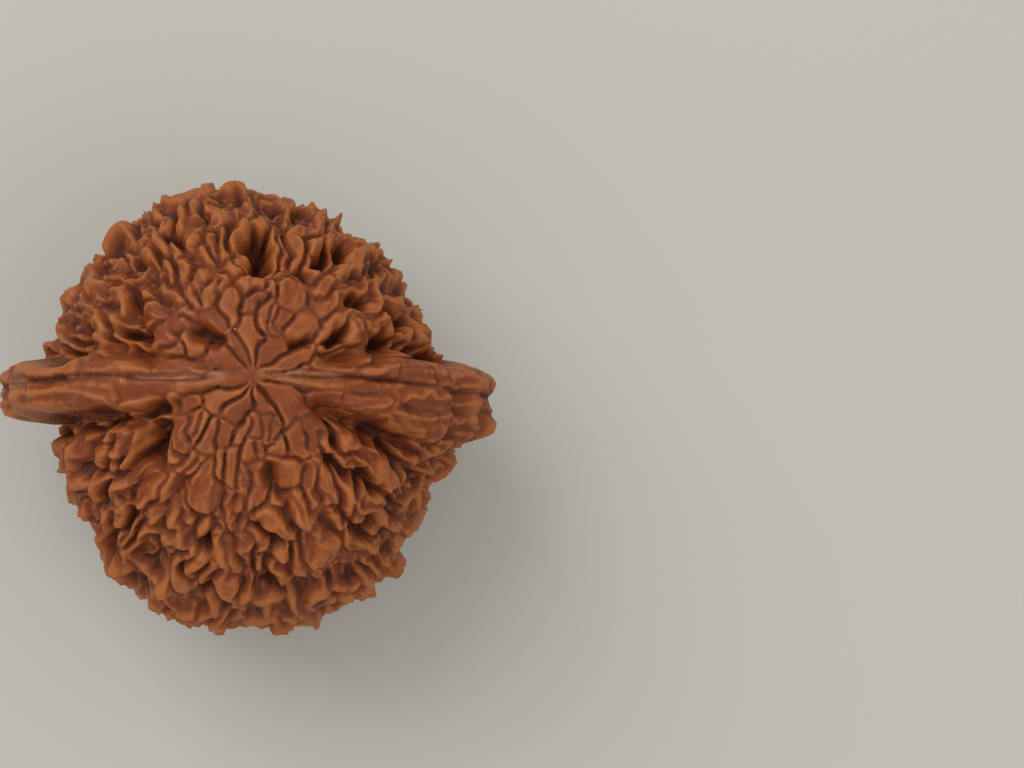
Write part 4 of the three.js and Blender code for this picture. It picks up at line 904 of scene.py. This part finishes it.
edge_ends = np.empty(len(nut_mesh.edges) * 2, np.int32)
nut_mesh.edges.foreach_get("vertices", edge_ends)
edge_ends = edge_ends.reshape(-1, 2)
neighbours = np.bincount(edge_ends.ravel(), minlength=count)
normals = np.empty(count * 3, np.float32)
nut_mesh.vertices.foreach_get("normal", normals)
normals = normals.reshape(-1, 3)
fine = ((outside - smoothed(outside, FINE_PASSES, edge_ends, neighbours)) * normals).sum(1)
level = height[:, None]
broad = (level - smoothed(level, BROAD_PASSES, edge_ends, neighbours))[:, 0]
# crest and level drive painted light on the crests and painted shade in the hollows.
store("crest", np.clip(fine / FINE_RANGE, -1, 1))
store("level", np.clip(broad / BROAD_RANGE, -1, 1))
# The groove, split and edge marks carry painted shade for the grooves, cracks and plates' edges.
store("groove", marks["groove"])
store("split", np.clip(marks["split"], 0, 1))
store("edge", np.clip(marks["edge"], 0, 1))
store("tint", marks["tint"])
away = smooth(0.35, 0.9, np.arccos(np.clip(directions[:, 2], -1, 1)))
store("fibre", away * (1 - FIBRE_LOSS_ON_FLANGE * marks["on_flange"]))
grain_layer = nut_mesh.attributes.new("grain", "FLOAT_VECTOR", "POINT")
grain_layer.data.foreach_set("vector", (grain_place * MM).astype(np.float32).ravel())
spots = np.linalg.norm(directions[:, None] * MEAN_RADIUS - unit(dusty_at)[None] * MEAN_RADIUS, axis=2)
store("dust", np.clip((dusty[:, 3] * np.exp(-(spots / dusty[:, 2]) ** 2)).sum(1), 0, 1))
print("crest spread, mm:", fine.std().round(3), "level spread, mm:", broad.std().round(3))

# %% [markdown]
# ## Shader maths
# A finish is mostly small sums on masks. Written node by node they are unreadable, so one class
# wraps a socket and turns Python's own operators into Math nodes.

# %% Helpers for materials


class Value:
    """A number that varies over the surface."""

    def __init__(self, finish, socket):
        self.finish = finish
        self.socket = socket

    def math(self, operation, first, second=0.0):
        return self.finish.node("ShaderNodeMath", {"operation": operation}, {0: first, 1: second})

    def __add__(self, other):
        return self.math("ADD", self, other)

    def __radd__(self, other):
        return self.math("ADD", other, self)

    def __sub__(self, other):
        return self.math("SUBTRACT", self, other)

    def __rsub__(self, other):
        return self.math("SUBTRACT", other, self)

    def __mul__(self, other):
        return self.math("MULTIPLY", self, other)

    def __rmul__(self, other):
        return self.math("MULTIPLY", other, self)

    def between(self, low, high):
        """Soft step from low to high, as a mask."""
        settings = {"interpolation_type": "SMOOTHSTEP"}
        return self.finish.node("ShaderNodeMapRange", settings, {0: self, 1: low, 2: high})


class Finish:
    """A material and the few kinds of node that it is made of."""

    def __init__(self, name):
        self.material = bpy.data.materials.new(name)
        self.material.use_nodes = True
        self.tree = self.material.node_tree
        self.shader = self.tree.nodes["Principled BSDF"]

    def node(self, kind, settings=None, inputs=None, output=0):
        made = self.tree.nodes.new(kind)
        for name, value in (settings or {}).items():
            setattr(made, name, value)
        for name, value in (inputs or {}).items():
            if isinstance(value, Value):
                self.tree.links.new(value.socket, made.inputs[name])
            else:
                made.inputs[name].default_value = value
        return Value(self, made.outputs[output])

    def attribute(self, name, output="Fac"):
        return self.node("ShaderNodeAttribute", {"attribute_name": name}, output=output)

    def place(self):
        return self.node("ShaderNodeTexCoord", output="Object")

    def noise(self, place, size, detail=2.0, roughness=0.5):
        """Noise with lumps of about the given size in mm."""
        inputs = {"Vector": place, "Scale": 1 / (size * MM), "Detail": detail, "Roughness": roughness}
        return self.node("ShaderNodeTexNoise", {}, inputs)

    def mix(self, mask, first, second):
        """The first colour where the mask is 0 and the second where it is 1."""
        return self.node("ShaderNodeMix", {"data_type": "RGBA"}, {0: mask, 6: first, 7: second}, output=2)

    def into(self, name, value):
        if isinstance(value, Value):
            self.tree.links.new(value.socket, self.shader.inputs[name])
        else:
            self.shader.inputs[name].default_value = value


# %% [markdown]
# ## The shell's finish
# Walnut shell is a matte wood, waxy where hands have rubbed it. Its colour follows the relief,
# with painted shade and painted light: cracks nearly black, grooves, plate edges and hollows dark
# brown as painted shade, flats red-brown, crests orange partly as painted light, and a tan on them
# that is partly wear and partly painted highlight. Dust lies by the tip and at the ends of the
# flange, under the lines of the cracks, and a few pale specks are caught in the folds. A picture of the
# nut would fit one side only, so all of this is worked out from the relief and from noise.

# %% Shell material
# Crack, groove and hollow browns are painted shade; the crest orange is partly painted light and the worn
# tan partly painted highlight.
CRACK_SHADE_BROWN = (0.038, 0.014, 0.008, 1)
GROOVE_SHADE_BROWN = (0.062, 0.018, 0.008, 1)
SHADED_HOLLOW_BROWN = (0.080, 0.020, 0.009, 1)
FLAT_BROWN = (0.178, 0.039, 0.0090, 1)
LIT_CREST_ORANGE = (0.295, 0.081, 0.0180, 1)
WORN_AND_LIT_TAN = (0.40, 0.140, 0.042, 1)
DUST_GREY = (0.30, 0.165, 0.095, 1)
SPECK_PALE = (0.62, 0.55, 0.44, 1)
SPECK_SPACING = 2.2
BUMP_HEIGHT = 0.13
SHEEN = 0.22

shell_finish = Finish("shell")
place = shell_finish.place()
crest = shell_finish.attribute("crest")
level = shell_finish.attribute("level")
groove = shell_finish.attribute("groove")
split = shell_finish.attribute("split")
dust = shell_finish.attribute("dust")
along_grain = shell_finish.attribute("grain", "Vector")
fibre = shell_finish.attribute("fibre")
streaks = (shell_finish.noise(along_grain, 0.45, 3.0, 0.6) - 0.5) * fibre
creases = shell_finish.noise(along_grain, 1.1, 3.0, 0.5) - 0.5
creases = creases.math("ABSOLUTE", creases).between(0.0, 0.09) * fibre
patches = shell_finish.noise(place, 5.0, 3.0) - 0.5
mottle = shell_finish.noise(place, 0.7, 4.0, 0.65) - 0.5
# Painted light and shade: crest and level lighten the crests and darken the hollows, over the shell's own
# random tone from tint, patches, mottle and streaks.
tone_and_relief_shade = 0.5 + shell_finish.attribute("tint") * 0.12 + crest * 0.22 + level * 0.40
tone_and_relief_shade = tone_and_relief_shade + patches * 0.55 + mottle * 0.34 + streaks * 0.55
lit = tone_and_relief_shade.between(0.45, 1.05)
deep = tone_and_relief_shade.between(0.38, 0.0)
colour = shell_finish.mix(lit, FLAT_BROWN, LIT_CREST_ORANGE)
colour = shell_finish.mix(deep, colour, SHADED_HOLLOW_BROWN)
# Partly wear and partly painted highlight: a pale tan on the crests.
wear_and_highlight = (crest + mottle * 0.8 + streaks * 0.8).between(0.35, 1.2)
colour = shell_finish.mix(wear_and_highlight * 0.35, colour, WORN_AND_LIT_TAN)
# Painted shade in the grooves between the plates.
colour = shell_finish.mix(groove.between(0.1, 1.2) * 0.45, colour, GROOVE_SHADE_BROWN)
settled_dust = (dust + mottle * 0.8 - level * 0.2).between(0.25, 1.0)
colour = shell_finish.mix(settled_dust * 0.42, colour, DUST_GREY)
# Painted shade along the plates' edges, where they meet.
edge_shade = shell_finish.attribute("edge") + mottle * 0.08
edge_shade = edge_shade.between(0.20, 0.04) * 0.45
colour = shell_finish.mix(edge_shade, colour, GROOVE_SHADE_BROWN)
# Painted shade in the cracks and along the seam, thinner than the mesh can show.
crack_shade = (split + mottle * 0.06).between(0.19, 0.05) * 0.72
colour = shell_finish.mix(crack_shade, colour, CRACK_SHADE_BROWN)
speck_place = {"Vector": place, "Scale": 1 / (SPECK_SPACING * MM)}
specks = shell_finish.node("ShaderNodeTexVoronoi", {}, speck_place, "Distance")
scarce = shell_finish.noise(place, 3.1, 1.0).between(0.56, 0.62)
colour = shell_finish.mix(specks.between(0.055, 0.035) * scarce * 0.7, colour, SPECK_PALE)
shell_finish.into("Base Color", colour)
shell_finish.into("Roughness", 0.50 + mottle * 0.25 - crest * 0.10 + settled_dust * 0.3 + groove * 0.25)
shell_finish.into("Specular IOR Level", SHEEN)
wrinkles = shell_finish.noise(place, 0.45, 3.0, 0.6)
grain = shell_finish.noise(place, 0.16, 2.0)
bump_height = wrinkles * 0.5 + grain * 0.15 + streaks * 0.6 + creases * 0.5 - edge_shade * 0.8 - crack_shade
bump_inputs = {"Strength": 0.75, "Distance": BUMP_HEIGHT * MM, "Height": bump_height}
bump = shell_finish.node("ShaderNodeBump", {}, bump_inputs)
shell_finish.into("Normal", bump)
nut_mesh.materials.append(shell_finish.material)
print("shell material nodes:", len(shell_finish.tree.nodes))

# %% [markdown]
# ## Floor and light
# A plain pale floor catches the soft shadow. The photograph's light is a broad one from the upper
# left with a weaker fill, so two large area lights and a pale world do the same.

# %% Floor
FLOOR_SIZE = 3.0
FLOOR_GREY = (0.46, 0.445, 0.406, 1)
floor_bmesh = bmesh.new()
bmesh.ops.create_grid(floor_bmesh, x_segments=1, y_segments=1, size=FLOOR_SIZE / 2)
floor_mesh = bpy.data.meshes.new("floor")
floor_bmesh.to_mesh(floor_mesh)
floor_bmesh.free()
floor = bpy.data.objects.new("floor", floor_mesh)
bpy.context.scene.collection.objects.link(floor)
floor_finish = Finish("floor")
floor_finish.into("Base Color", FLOOR_GREY)
floor_finish.into("Roughness", 0.9)
floor_mesh.materials.append(floor_finish.material)

# %% Lights
WORLD_WHITE = (1.0, 0.985, 0.95, 1)
WORLD_STRENGTH = 0.78


def softbox(name, place, size, power):
    """A square area light at a place in metres, aimed at the nut."""
    light = bpy.data.lights.new(name, "AREA")
    light.size = size
    light.energy = power
    lamp = bpy.data.objects.new(name, light)
    lamp.location = place
    aim = nut_middle * MM - lamp.location
    lamp.rotation_euler = aim.to_track_quat("-Z", "Y").to_euler()
    bpy.context.scene.collection.objects.link(lamp)


softbox("key", (-0.35, 0.30, 0.55), 0.50, 2.6)
softbox("fill", (0.40, -0.35, 0.50), 0.60, 0.6)
world = bpy.data.worlds.new("studio")
world.use_nodes = True
sky = world.node_tree.nodes["Background"]
sky.inputs["Color"].default_value = WORLD_WHITE
sky.inputs["Strength"].default_value = WORLD_STRENGTH
bpy.context.scene.world = world
bpy.context.scene.view_settings.view_transform = "Standard"
